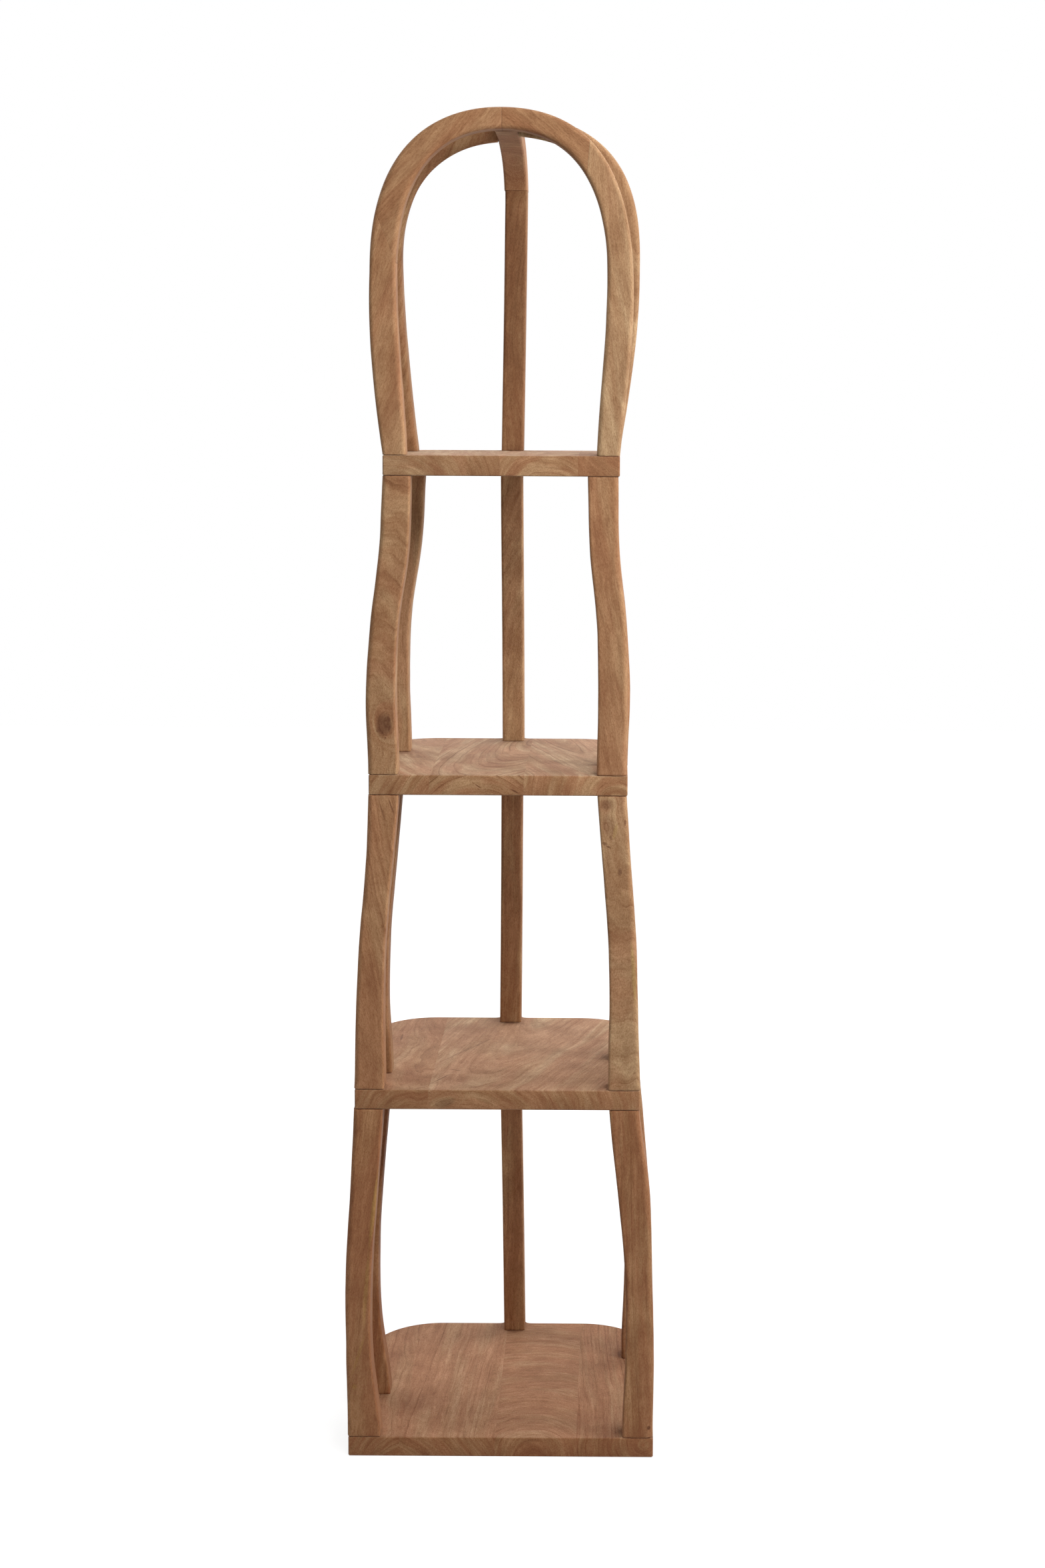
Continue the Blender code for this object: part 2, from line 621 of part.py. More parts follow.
def crown_feet():
    """Where the crown's five members stand on the top board, by the post below them."""
    level = len(BOARDS) - 1
    back = seat_depth(level) - CROWN_BACK.width[0] / 2 * MM
    return {
        "front_left": front_foot(LEFT),
        "front_right": front_foot(RIGHT),
        "side_left": arch_foot(LEFT),
        "side_right": arch_foot(RIGHT),
        "back": (back_line(level)[0], back),
    }


def make_dowels(shelf):
    """One dowel runs through a board where the posts above and below it line up, else each has its own."""
    aligned = 12 * MM
    for level, board in enumerate(BOARDS):
        top = board_top(level)
        bottom = top - BOARD_THICKNESS
        above = crown_feet() if level == len(BOARDS) - 1 else {
            post.name: post_middle(post, level, 0) for post in POSTS[level]
        }
        below = {post.name: post_middle(post, level - 1, 1) for post in POSTS[level - 1]} if level else {}
        for place, foot in above.items():
            head = below.get(place)
            if head and math.dist(foot, head) < aligned:
                x, y = ((a + b) / 2 for a, b in zip(foot, head))
                low, high = bottom - DOWEL_IN_POST, top + DOWEL_IN_POST
                dowel(shelf, f"dowel_{board.name}_{place}", level, x, y, low, high)
                continue
            dowel(
                shelf, f"dowel_{board.name}_{place}_foot", level, *foot, top - DOWEL_IN_BOARD,
                top + DOWEL_IN_POST,
            )
            if head:
                dowel(
                    shelf, f"dowel_{board.name}_{place}_head", level, *head, bottom - DOWEL_IN_POST,
                    bottom + DOWEL_IN_BOARD,
                )


def centre_on_floor(shelf):
    """Moves everything so that the middle of the shelf's outer box stands on the origin."""
    bpy.context.view_layer.update()
    graph = bpy.context.evaluated_depsgraph_get()
    low, high = Vector((FAR, FAR, FAR)), Vector((-FAR, -FAR, -FAR))
    for item in shelf.parts.objects:
        if item.type != "MESH":
            continue
        solid = item.evaluated_get(graph)
        for vert in solid.data.vertices:
            place = solid.matrix_world @ vert.co
            low = Vector(min(a, b) for a, b in zip(low, place))
            high = Vector(max(a, b) for a, b in zip(high, place))
    shelf.centre.location = (-(low.x + high.x) / 2, -(low.y + high.y) / 2, 0)
    bpy.context.view_layer.update()


def main():
    clear_scene()
    shelf = Shelf()
    make_dowels(shelf)
    make_boards(shelf)
    make_posts(shelf)
    make_front_arch(shelf)
    spine = make_spine(shelf)
    make_side_arches(shelf, spine)
    make_spine_tenon(shelf, spine)
    make_apex_tenon(shelf)
    centre_on_floor(shelf)


main()
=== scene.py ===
"""Looks of the wooden display shelf: finely sawn pieces, their wood, the studio and the camera.

Metres, +Z up, the front looks towards -Y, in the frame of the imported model.
"""

import math
from collections import namedtuple

import bmesh
import bpy
import numpy as np
from bpy.props import FloatProperty, FloatVectorProperty, PointerProperty
from mathutils import Matrix, Vector


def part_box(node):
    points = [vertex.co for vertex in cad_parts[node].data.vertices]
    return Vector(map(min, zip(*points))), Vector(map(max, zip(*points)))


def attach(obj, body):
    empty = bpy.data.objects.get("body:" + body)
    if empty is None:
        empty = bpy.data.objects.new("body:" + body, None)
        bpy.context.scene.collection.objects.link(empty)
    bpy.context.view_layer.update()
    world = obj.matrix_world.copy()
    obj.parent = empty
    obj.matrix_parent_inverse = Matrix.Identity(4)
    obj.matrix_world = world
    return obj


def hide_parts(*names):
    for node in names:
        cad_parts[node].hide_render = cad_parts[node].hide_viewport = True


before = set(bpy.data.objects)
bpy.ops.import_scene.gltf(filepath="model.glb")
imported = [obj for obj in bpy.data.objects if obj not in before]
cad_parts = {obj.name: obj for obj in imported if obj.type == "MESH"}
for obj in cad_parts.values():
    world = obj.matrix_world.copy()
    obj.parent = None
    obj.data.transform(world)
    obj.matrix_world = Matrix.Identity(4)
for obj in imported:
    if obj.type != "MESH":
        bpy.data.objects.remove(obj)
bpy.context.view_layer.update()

bl_info = {
    "name": "Wooden display shelf",
    "version": (1, 0, 0),
    "blender": (4, 5, 0),
    "location": "View3D > Sidebar > Shelf",
    "description": "Builds the boards, posts and arched crown of a display shelf, with their wood and studio",
    "category": "Add Mesh",
}

MM = 0.001
LEFT, RIGHT, BACK = -1, 1, 0
SIDE_WORDS = {LEFT: "left", RIGHT: "right"}
UP, DOWN = (0, 0, 1), (0, 0, -1)

# Boards, from the floor up. Corner is the radius of the two back corners, shift is the centre's
# distance to the right of the shelf's centre line, and the seams between the staves are measured
# from the board's centre.
Board = namedtuple("Board", "name width depth corner shift seams")
BOARDS = (
    Board("bottom_shelf", 412 * MM, 408 * MM, 102 * MM, 2.7 * MM, (-137 * MM, -8 * MM, 102 * MM)),
    Board("second_shelf", 381 * MM, 382 * MM, 86 * MM, -2.5 * MM, (-92 * MM,)),
    Board("third_shelf", 342 * MM, 350 * MM, 72 * MM, -2.0 * MM, (-91 * MM, 34 * MM)),
    Board("top_shelf", 310 * MM, 310 * MM, 58 * MM, 1.5 * MM, (-2 * MM, 100 * MM)),
)
BOARD_THICKNESS = 27 * MM
BOARD_ROUND = 2 * MM
BOARD_NOSE = 2.5 * MM     # radius of a board's two front corners
SHARP_ANGLE = math.radians(40)
TOP = len(BOARDS) - 1
TONGUE = 5 * MM           # how far a board reaches back behind its back post
TONGUE_FILLET = 9 * MM
TONGUE_SPARE = 1 * MM     # a tongue is this much wider than the post, on each side
TIERS = ("bottom", "middle", "upper")
TIER_HEIGHTS = (452 * MM, 397 * MM, 394 * MM)
CROWN_HEIGHT = 449 * MM
POST_THICKNESS = 34 * MM
BACK_POST_THICKNESS = 31 * MM
SEAM = 0.12 * MM          # half the dark line between two joined pieces
GLUE_LINE = 0.03 * MM     # half the line where a joint was glued and sanded over
SPINE_GAP = 0.3 * MM      # from the front arch's back face to the spine
WALL_SINK = 0.1 * MM      # how far a side arch's end reaches into the spine's side
CHIP = 0.45 * MM          # the small break of the edge around a sawn end
CHIP_DEPTHS = (0.2 * MM, 1.7 * MM)
FLUSH = 0.02              # roughness of a joint that was sanded over, where a post's end has 1
POST_SOFT = (0.9, 1.75)   # factors on the radius of the inner and the outer arris
CROWN_SOFT = (1.6, 1.5)
SPARE = 30 * MM           # every blank is longer than the piece
ARRIS_SWING = (0.8, 1.2)  # how far sanding by hand varies an arris
LEAST_ROWS = 24
CURVE_POINTS, STEM_POINTS, POST_POINTS = 160, 120, 400
CORNER_POINTS, ROUND_POINTS = 25, 6

# How far a post's outer edge stands outside the line between the boards' edges, and how wide the post
# is, both in millimetres at the foot, quarter, middle, three quarters and top. A back post's curves
# are those seen from the side, and its outer edge is its back.
Post = namedtuple("Post", "name side outer width")
POSTS = (
    (
        Post("front_left", LEFT, (1, 5.6, 8.6, 4.6, 1.5), (44.6, 34.6, 35.2, 36.6, 39.5)),
        Post("front_right", RIGHT, (0, 5.8, 8.1, 9.0, -1.0), (41.7, 38.4, 37.2, 43.4, 40.3)),
        Post("side_left", LEFT, (0, 8, 12, 8, 1), (44, 35.3, 35.5, 36.5, 36)),
        Post("side_right", RIGHT, (0, 6, 8.8, 5, 0), (42.6, 40, 36, 37, 38)),
        Post("back", BACK, (0, 6, 9, 6, 0), (36, 34, 33, 34, 35)),
    ),
    (
        Post("front_left", LEFT, (1, 3.6, 3.9, 0.1, 0.8), (40.6, 37.6, 35.2, 35.4, 40.7)),
        Post("front_right", RIGHT, (0.8, 2, 3.7, 1, -0.8), (43.3, 38.8, 37.8, 37.9, 39.2)),
        Post("side_left", LEFT, (0, 4, 5, 2, 0), (42.7, 36.8, 35.3, 36.1, 37.5)),
        Post("side_right", RIGHT, (0, 0.8, 2, -1, -2), (43, 37, 35, 36, 38)),
        Post("back", BACK, (0, 4, 5, 2, 0), (35, 34, 33, 34, 35)),
    ),
    (
        Post("front_left", LEFT, (1, 9, 7.7, 0.8, 0.6), (39.6, 39.7, 36.8, 38.9, 37.6)),
        Post("front_right", RIGHT, (-0.5, 2.5, 3.8, -3, -1.8), (40.5, 39.1, 39.2, 39, 40.4)),
        Post("side_left", LEFT, (0, 8, 7, 0, 0), (37.8, 38.1, 35.5, 38, 38.9)),
        Post("side_right", RIGHT, (0.3, 6.4, 4.2, -3, -1.9), (40, 37, 37, 39, 39)),
        Post("back", BACK, (0, 7, 6, 0, 0), (35, 34, 33, 34, 35)),
    ),
)
SIDE_POST_DEPTHS = {"side_left": (140 * MM, 79 * MM, 209 * MM), "side_right": (272 * MM, 146 * MM, 85 * MM)}
# X of each back post's foot and head.
BACK_POST_LINE = ((5.5 * MM, -1.2 * MM), (-0.3 * MM, 2.8 * MM), (4.3 * MM, 3.0 * MM), (4.2 * MM, 9.2 * MM))

# An arch's edge runs from its foot over its widest point to the crown's top as two cubic curves, in
# millimetres. Foot and reach are its distances outside the top board's edge at the foot and at the
# widest point, shoulder is that point's height, and top is how far the edge stays below the crown's
# top. Flare and the pulls place the curves' inner control points.
ArchEdge = namedtuple("ArchEdge", "foot flare pull_foot pull_down reach shoulder pull_up pull_top top")
FRONT_OUTER = {
    LEFT: ArchEdge(0, 22.3, 147, 40, 16.7, 241, 182, 60, 0),
    RIGHT: ArchEdge(0, 5.6, 57, 72, 17, 210, 166, 111, 0),
}
FRONT_INNER = ArchEdge(-30.5, 1.6, 63, 92, -18, 235, 110, 96, 28.5)
SIDE_OUTER = {
    LEFT: ArchEdge(0, 12, 29, 45, 23, 257, 84, 145, 3),
    RIGHT: ArchEdge(0, 2, 29, 98, 25, 235, 60, 192, 3),
}
SIDE_INNER = {
    LEFT: ArchEdge(-29, 4, 32, 83, -12, 258, 144, 54, 32),
    RIGHT: ArchEdge(-29, -1, 68, 166, -9, 271, 67, 128, 32),
}
# How far behind the front plane a side arch has its foot and its upper end.
SIDE_ARCH_DEPTHS = {LEFT: (213 * MM, 108 * MM), RIGHT: (88 * MM, 39 * MM)}
# A scarf joint's place beside the centre line, its height above the top board, and its slope.
SCARFS = {LEFT: (-141 * MM, 258 * MM, math.radians(68)), RIGHT: (112 * MM, 386 * MM, math.radians(86))}
SPINE_THICKNESS = 32 * MM
SPINE_FRONT_X = 5.6 * MM
SPINE_DROP = 85 * MM          # from the crown's top to the spine's joint with the back post
SPINE_BEND_DROP = 110 * MM    # from the crown's top to where the back post begins to bend
SPINE_OUTER_PULLS = (75 * MM, 170 * MM)
SPINE_INNER_PULLS = (50 * MM, 150 * MM)
CROWN_BACK = Post("crown_back", BACK, (0, 2, 4, 2, -3), (36, 35, 35, 35, 36))
FRONT_ARCH_SEED, SPINE_SEED = 40, 50


class ShelfSizes(bpy.types.PropertyGroup):
    """Small sizes of the pieces' edges."""

    arris: FloatProperty(
        name="Arris radius", description="Rounding of the long edges of posts and arches",
        default=3.5 * MM, min=0.0005, max=0.008, unit="LENGTH",
    )
    board_arris: FloatProperty(
        name="Board edge radius", description="Rounding of the boards' edges",
        default=BOARD_ROUND, min=0.0005, max=0.006, unit="LENGTH",
    )
    unevenness: FloatProperty(
        name="Unevenness", description="How far the sanded edges wander inwards from their line",
        default=0.35 * MM, min=0, max=0.002, unit="LENGTH",
    )
    row_step: FloatProperty(
        name="Row spacing", description="Distance between two rows of points along a post or arch",
        default=3.2 * MM, min=0.001, max=0.02, unit="LENGTH",
    )


class WoodFinish(bpy.types.PropertyGroup):
    """Colours and sheen of the oiled wood."""

    honey: FloatVectorProperty(
        name="Honey", description="Palest wood, between the growth rings", subtype="COLOR",
        default=(0.390, 0.218, 0.108), min=0, max=1,
    )
    tan: FloatVectorProperty(
        name="Tan", description="The wood's middle tone", subtype="COLOR",
        default=(0.345, 0.172, 0.080), min=0, max=1,
    )
    rosy: FloatVectorProperty(
        name="Rosy", description="Reddish patches", subtype="COLOR",
        default=(0.345, 0.160, 0.076), min=0, max=1,
    )
    umber: FloatVectorProperty(
        name="Umber", description="Dark lines of the growth rings and knots", subtype="COLOR",
        default=(0.150, 0.060, 0.028), min=0, max=1,
    )
    ochre: FloatVectorProperty(
        name="Ochre", description="Yellow mineral streaks", subtype="COLOR",
        default=(0.40, 0.235, 0.085), min=0, max=1,
    )
    roughness: FloatProperty(
        name="Roughness", description="Satin sheen of the oiled surface",
        default=0.66, min=0, max=1, subtype="FACTOR",
    )
    specular: FloatProperty(
        name="Specular", description="Strength of the plain reflection",
        default=0.15, min=0, max=1, subtype="FACTOR",
    )
    sheen: FloatProperty(
        name="Sheen", description="Pale bloom of the raised fibres at a shallow angle",
        default=0.04, min=0, max=1, subtype="FACTOR",
    )


class Studio(bpy.types.PropertyGroup):
    """Lights and camera."""

    lens: FloatProperty(name="Lens", description="Focal length in millimetres", default=55.8, min=20, max=200)
    top_power: FloatProperty(
        name="Top power", description="Power of the large lamp high above", default=60, min=0, unit="POWER",
    )
    rear_power: FloatProperty(
        name="Rear power", description="Power of each of the two lamps behind",
        default=42, min=0, unit="POWER",
    )
    key_power: FloatProperty(
        name="Key power", description="Power of the lamp above the front", default=35.5, min=0, unit="POWER",
    )
    side_power: FloatProperty(
        name="Side power", description="Power of the lamp at the right", default=20.5, min=0, unit="POWER",
    )
    fill_power: FloatProperty(
        name="Fill power", description="Power of the steep lamp that lights the boards' fronts",
        default=14.5, min=0, unit="POWER",
    )
    ambient: FloatProperty(
        name="Ambient", description="Brightness of the room around the shelf", default=0.02, min=0, max=2,
    )


def sizes():
    return bpy.context.scene.shelf_sizes


def finish():
    return bpy.context.scene.shelf_finish


def board_top(level):
    """Height of the upper face of a board, counted from 0 at the floor."""
    return BOARD_THICKNESS * (level + 1) + sum(TIER_HEIGHTS[:level])


def board_edge(level, side):
    board = BOARDS[level]
    return board.shift + side * board.width / 2


def seat_depth(level):
    """Y of the back face of a back post where it stands on a board, behind the front plane."""
    return BOARDS[level].depth + TONGUE


def crown_top():
    return board_top(TOP) + CROWN_HEIGHT


def shelf_origin():
    """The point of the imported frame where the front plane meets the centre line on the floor."""
    low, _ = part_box("bottom_shelf_stave_1")
    return Vector((low.x - board_edge(0, LEFT), low.y, 0))


ORIGIN = shelf_origin()


def wave(values, share):
    """Smooth curve through evenly spaced values.

    Between two values it is the cubic whose slope at each is half the difference of its neighbours.
    """
    values = np.asarray(values, float)
    last = len(values) - 1
    place = np.clip(share, 0, 1) * last
    at = np.minimum(place.astype(int), last - 1)
    t = place - at
    before, start = values[np.maximum(at - 1, 0)], values[at]
    end, after = values[at + 1], values[np.minimum(at + 2, last)]
    slope_in, slope_out = (end - before) / 2, (after - start) / 2
    return (
        (2 * t**3 - 3 * t**2 + 1) * start + (t**3 - 2 * t**2 + t) * slope_in
        + (3 * t**2 - 2 * t**3) * end + (t**3 - t**2) * slope_out
    )


def cubic(p0, p1, p2, p3, count=CURVE_POINTS):
    """Points of a cubic curve: its control points weighted by (1-t)^3, 3(1-t)^2 t, 3(1-t)t^2 and t^3."""
    t = np.linspace(0, 1, count)[:, None]
    p0, p1, p2, p3 = (np.array(p, float) for p in (p0, p1, p2, p3))
    return (1 - t)**3 * p0 + 3 * (1 - t)**2 * t * p1 + 3 * (1 - t) * t * t * p2 + t**3 * p3


def lengths(line):
    """Distance along a line of points, counted from its first point."""
    return np.r_[0, np.cumsum(np.linalg.norm(np.diff(line, axis=0), axis=1))]


def resample(line, count):
    """The same line with evenly spaced points."""
    along = lengths(line)
    places = np.linspace(0, along[-1], count)
    return np.stack([np.interp(places, along, column) for column in line.T], 1)


def facing(outer, inner, count):
    """Evenly spaced points of the outer edge, each with the nearest point of the inner edge."""
    outer, inner = resample(outer, count), resample(inner, count * 16)
    gap = ((outer[:, None] - inner[None])**2).sum(2)
    return outer, inner[gap.argmin(1)]


def ripple(count, seed, waves=9):
    """Gentle wandering between 0 and 1: a sum of sines of rising frequency and falling height."""
    draw = np.random.default_rng(seed)
    place = np.linspace(0, 1, count)[:, None]
    rate = np.arange(1, waves + 1) * draw.uniform(0.8, 1.6, waves)
    total = (np.sin(math.tau * (rate * place + draw.random(waves))) / np.sqrt(rate)).sum(1)
    return 0.5 + 0.5 * np.tanh(total / 1.6)


def half_section():
    """One half of a rounded rectangle, from its inner to its outer edge.

    A point's distance from the inner edge is a share of the width plus shares of the inner and the
    outer corner radius. Its height above the middle is a share of half the thickness plus shares of
    both radii. The last number is 1 on the arris and marks where the wood gets a painted highlight.
    """
    turn = np.linspace(0, math.pi / 2, ROUND_POINTS)
    edge = [(0, 0, 0, g, -g, 0, 0) for g in (0.25, 0.75, 0.97)]
    corner = [(0, 1 - math.cos(a), 0, 1, math.sin(a) - 1, 0, math.sin(2 * a)) for a in turn]
    face = [(f, 1 - f, -f, 1, 0, 0, 0) for f in (0.03, 0.2, 0.4, 0.6, 0.8, 0.97)]
    far = [(1 - a, -c, -b, d, f, e, g) for a, b, c, d, e, f, g in reversed(edge + corner)]
    return np.array(edge + corner + face + far)


HALF = half_section()


def section_lines(outer, inner, thickness, radii, inset):
    """Lengthwise lines of a band: the rounded section set up between each pair of edge points.

    Radii are the inner and the outer arris's. The result has a row for each pair, its points go
    round the section, and each has three numbers: along the plank's two axes and through it.
    """
    across = outer - inner
    width = np.linalg.norm(across, axis=1, keepdims=True)
    across = across / width
    near, far = (radius[:, None] - inset for radius in radii)
    reach = HALF[:, 0] * (width - 2 * inset) + HALF[:, 1] * near + HALF[:, 2] * far + inset
    height = HALF[:, 3] * (thickness / 2 - inset) + HALF[:, 4] * near + HALF[:, 5] * far
    place = inner[:, None] + across[:, None] * reach[:, :, None]
    upper = np.dstack([place, height])
    lower = np.dstack([place, -height])[:, ::-1]
    return np.concatenate([upper, lower], 1)


def sawn(lines, small, first, last, rows, seed, breaks):
    """Trims lengthwise lines between two planes and spaces their points evenly.

    A plane is a point and the direction into the piece. A line is cut where its signed distance to
    the plane passes zero. The smaller lines give the ring around each sawn end, and the edge around
    it breaks away to a depth that differs from line to line.
    """
    def cut(block, plane, start):
        distance = (block - np.array(plane[0])) @ np.array(plane[1])
        inside = distance > 0
        at = inside.argmax(0) if start else len(block) - inside[::-1].argmax(0)
        at = np.clip(at, 1, len(block) - 1)
        column = np.arange(block.shape[1])
        a, b = distance[at - 1, column], distance[at, column]
        return at - 1 + a / (a - b)

    def at_places(block, place):
        low = np.clip(np.floor(place).astype(int), 0, len(block) - 2)
        share = (place - low)[..., None]
        column = np.arange(block.shape[1])
        return block[low, column] * (1 - share) + block[low + 1, column] * share

    start, end = cut(lines, first, True), cut(lines, last, False)
    length = lengths(lines.mean(1))
    total = np.diff(np.interp([start.mean(), end.mean()], np.arange(len(lines)), length))[0]
    shallow, deep = CHIP_DEPTHS
    draw = np.random.default_rng(seed)
    chips = (shallow + (deep - shallow) * draw.random((2, lines.shape[1]))**3) / total
    chips *= np.array(breaks)[:, None]
    share = np.repeat(np.linspace(0, 1, rows)[:, None], lines.shape[1], 1)
    share[0], share[-1] = chips[0], 1 - chips[1]
    body = at_places(lines, start + (end - start) * share)
    ends = []
    for plane, flag, rough in ((first, True, breaks[0]), (last, False, breaks[1])):
        ring = lines + (small - lines) * rough
        ends.append(at_places(ring, cut(ring, plane, flag))[None])
    return np.concatenate([ends[0], body, ends[1]])


def fill_mesh(name, verts, faces, smooth, marks):
    """A mesh of quads from whole arrays, turned so that its volume is positive."""
    corner = verts[faces]
    volume = np.einsum("ij,ij->i", corner[:, 0], np.cross(corner[:, 1], corner[:, 2])).sum()
    volume += np.einsum("ij,ij->i", corner[:, 0], np.cross(corner[:, 2], corner[:, 3])).sum()
    if volume < 0:
        faces = faces[:, ::-1]
    mesh = bpy.data.meshes.new(name)
    mesh.vertices.add(len(verts))
    mesh.vertices.foreach_set("co", verts.astype(np.float32).ravel())
    mesh.loops.add(faces.size)
    mesh.loops.foreach_set("vertex_index", faces.astype(np.int32).ravel())
    mesh.polygons.add(len(faces))
    mesh.polygons.foreach_set("loop_start", np.arange(0, faces.size, 4, dtype=np.int32))
    mesh.polygons.foreach_set("use_smooth", smooth)
    for label, values in marks.items():
        mesh.attributes.new(label, "FLOAT", "POINT").data.foreach_set("value", values.astype(np.float32))
    mesh.update(calc_edges=True)
    return mesh


def ring_quads(count, ring):
    """Quads between rows of points that each go round in a ring."""
    start, k = np.meshgrid(np.arange(count - 1) * ring, np.arange(ring), indexing="ij")
    following = (k + 1) % ring
    quads = [start + k, start + following, start + ring + following, start + ring + k]
    return np.stack(quads, -1).reshape(-1, 4)


def band_mesh(name, rows):
    """Closes rows of section points into a solid: quads between rows, and rungs across both ends."""
    count, ring = rows.shape[:2]
    side = ring_quads(count, ring)
    half = ring // 2
    j = np.arange(half - 1)
    rung = np.stack([j, ring - 1 - j, ring - 2 - j, j + 1], -1)
    cap = (count - 1) * ring + rung[:, ::-1]
    faces = np.concatenate([side, rung, cap])
    smooth = np.r_[np.ones(len(side), bool), np.zeros(2 * len(rung), bool)]
    # The arris mark is 1 in the middle of each rounded edge, where the wood gets a painted highlight.
    arris = np.tile(np.r_[HALF[:, 6], HALF[::-1, 6]], count)
    sawn_end = np.zeros((count, ring))
    sawn_end[[0, -1]] = 1
    marks = {"arris": arris, "sawn_end": sawn_end.ravel()}
    return fill_mesh(name, rows.reshape(-1, 3), faces, smooth, marks)


def show(mesh, node, slot):
    """Puts a piece in its wood on the shelf's body, in place of its plain solid."""
    mesh.materials.append(wood_for(node))
    piece = bpy.data.objects.new(mesh.name, mesh)
    bpy.context.scene.collection.objects.link(piece)
    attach(piece, "root")
    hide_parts(node)


def band(node, slot, outer, inner, thickness, matrix, first, last, breaks=(1, 1), soft=(1, 1), seed=None):
    """Saws a piece out of a plank between two edges, rounds its arrises and trims its ends.

    Breaks say how rough its two ends are, and soft how round its inner and its outer arris are.
    Pieces that were sanded together share a seed.
    """
    size = sizes()
    seed = seed or sum(map(ord, node))
    total = lengths(outer)[-1]
    count = max(int(total / size.row_step), LEAST_ROWS)
    outer, inner = facing(outer, inner, count)
    across = (outer - inner) / np.linalg.norm(outer - inner, axis=1, keepdims=True)
    outer = outer - across * (size.unevenness * ripple(count, seed))[:, None]
    inner = inner + across * (size.unevenness * ripple(count, seed + 1))[:, None]
    low, high = ARRIS_SWING
    uneven = low + (high - low) * ripple(count, seed + 2, 5)
    radii = [size.arris * share * uneven for share in soft]
    turn = np.array(Matrix.Translation(ORIGIN) @ matrix)
    lines, small = (
        section_lines(outer, inner, thickness, radii, inset) @ turn[:3, :3].T + turn[:3, 3]
        for inset in (0, CHIP)
    )
    cuts = [(np.array(point) + ORIGIN, direction) for point, direction in (first, last)]
    rows = sawn(lines, small, *cuts, count, seed + 3, breaks)
    show(band_mesh("wood_" + node, rows), node, slot)


def across_front(depth, foot):
    """Stands an outline up across the front: its X stays, its Y goes up, at a given depth."""
    return Matrix.Translation((0, depth, foot)) @ Matrix.Rotation(math.pi / 2, 4, "X")


# Turns an outline so that its X goes back and its Y goes up.
FORE_AND_AFT = Matrix.Rotation(math.pi / 2, 4, "Z") @ Matrix.Rotation(math.pi / 2, 4, "X")


def leaning(x, depth, foot, lean):
    """A place on a board, leaning to the right by an angle."""
    return Matrix.Translation((x, depth, foot)) @ Matrix.Rotation(lean, 4, "Y")


def build_post(tier, post):
    """Saws a wavy post. Its outer edge is the line between the boards' edges plus a smooth curve
    through the post's five values, and its inner edge is that less a curve through its five widths.
    """
    foot, height = board_top(tier), TIER_HEIGHTS[tier]
    share = np.linspace(-SPARE / height, 1 + SPARE / height, POST_POINTS)
    side = post.side or 1
    if post.side == BACK:
        ends = seat_depth(tier), seat_depth(tier + 1)
        foot_x, top_x = BACK_POST_LINE[tier]
        matrix = leaning(foot_x, 0, foot, math.atan((top_x - foot_x) / height)) @ FORE_AND_AFT
        thickness, slot, soft = BACK_POST_THICKNESS, "back_posts", (1, 1)
    else:
        ends = board_edge(tier, side), board_edge(tier + 1, side)
        depth = SIDE_POST_DEPTHS[post.name][tier] if post.name in SIDE_POST_DEPTHS else 0
        matrix = across_front(depth + POST_THICKNESS / 2, foot)
        thickness, slot, soft = POST_THICKNESS, "posts", POST_SOFT
    held = np.clip(share, 0, 1)
    outer = ends[0] + (ends[1] - ends[0]) * held + side * wave(post.outer, share) * MM
    inner = outer - side * wave(post.width, share) * MM
    edges = [np.stack([line, share * height], 1) for line in (outer, inner)]
    cuts = ((0, 0, foot + SEAM), UP), ((0, 0, foot + height - SEAM), DOWN)
    return band(f"{TIERS[tier]}_{post.name}_post", slot, *edges, thickness, matrix, *cuts, soft=soft)


def arch_edge(edge, side, height):
    """An arch's edge from below its foot to past the crown's top, in the plank's two axes."""
    half = BOARDS[TOP].width / 2
    edge = ArchEdge(*(value * MM for value in edge))
    foot, reach, top = half + edge.foot, half + edge.reach, height - edge.top
    lower = cubic(
        (foot, 0), (foot + edge.flare, edge.pull_foot), (reach, edge.shoulder - edge.pull_down),
        (reach, edge.shoulder),
    )
    upper = cubic(
        (reach, edge.shoulder), (reach, edge.shoulder + edge.pull_up), (edge.pull_top, top), (0, top),
    )
    line = np.concatenate([[(foot, -SPARE)], lower[:-1], upper, [(-SPARE, top)]])
    return line * (side, 1) + (BOARDS[TOP].shift, 0)


def scarf_plane(side):
    """Point and outward direction of a scarf joint of the front arch."""
    x, up, slope = SCARFS[side]
    tilt = math.pi / 2 - slope
    turn = Matrix.Rotation(side * tilt, 3, "Y")
    point = Vector((BOARDS[TOP].shift + x, 0, board_top(TOP) + up))
    return point, turn @ Vector((side, 0, 0))


def build_front_arch(side):
    """Saws one half of the front arch, a leg and a top piece with a scarf joint between them."""
    foot, centre = board_top(TOP), BOARDS[TOP].shift
    edges = [arch_edge(edge, side, CROWN_HEIGHT) for edge in (FRONT_OUTER[side], FRONT_INNER)]
    matrix = across_front(POST_THICKNESS / 2, foot)
    point, outward = scarf_plane(side)
    floor_cut = ((0, 0, foot + SEAM), UP)
    middle_cut = ((centre + side * SEAM, 0, 0), (side, 0, 0))
    leg_cut, top_cut = (point + outward * GLUE_LINE, outward), (point - outward * GLUE_LINE, -outward)
    for part, cuts, breaks in (
        ("leg", (floor_cut, leg_cut), (0.4, FLUSH)), ("top", (top_cut, middle_cut), (FLUSH, 0.2)),
    ):
        node = f"crown_front_arch_{SIDE_WORDS[side]}_{part}"
        band(node, "crown", *edges, POST_THICKNESS, matrix, *cuts, breaks, CROWN_SOFT, FRONT_ARCH_SEED + side)


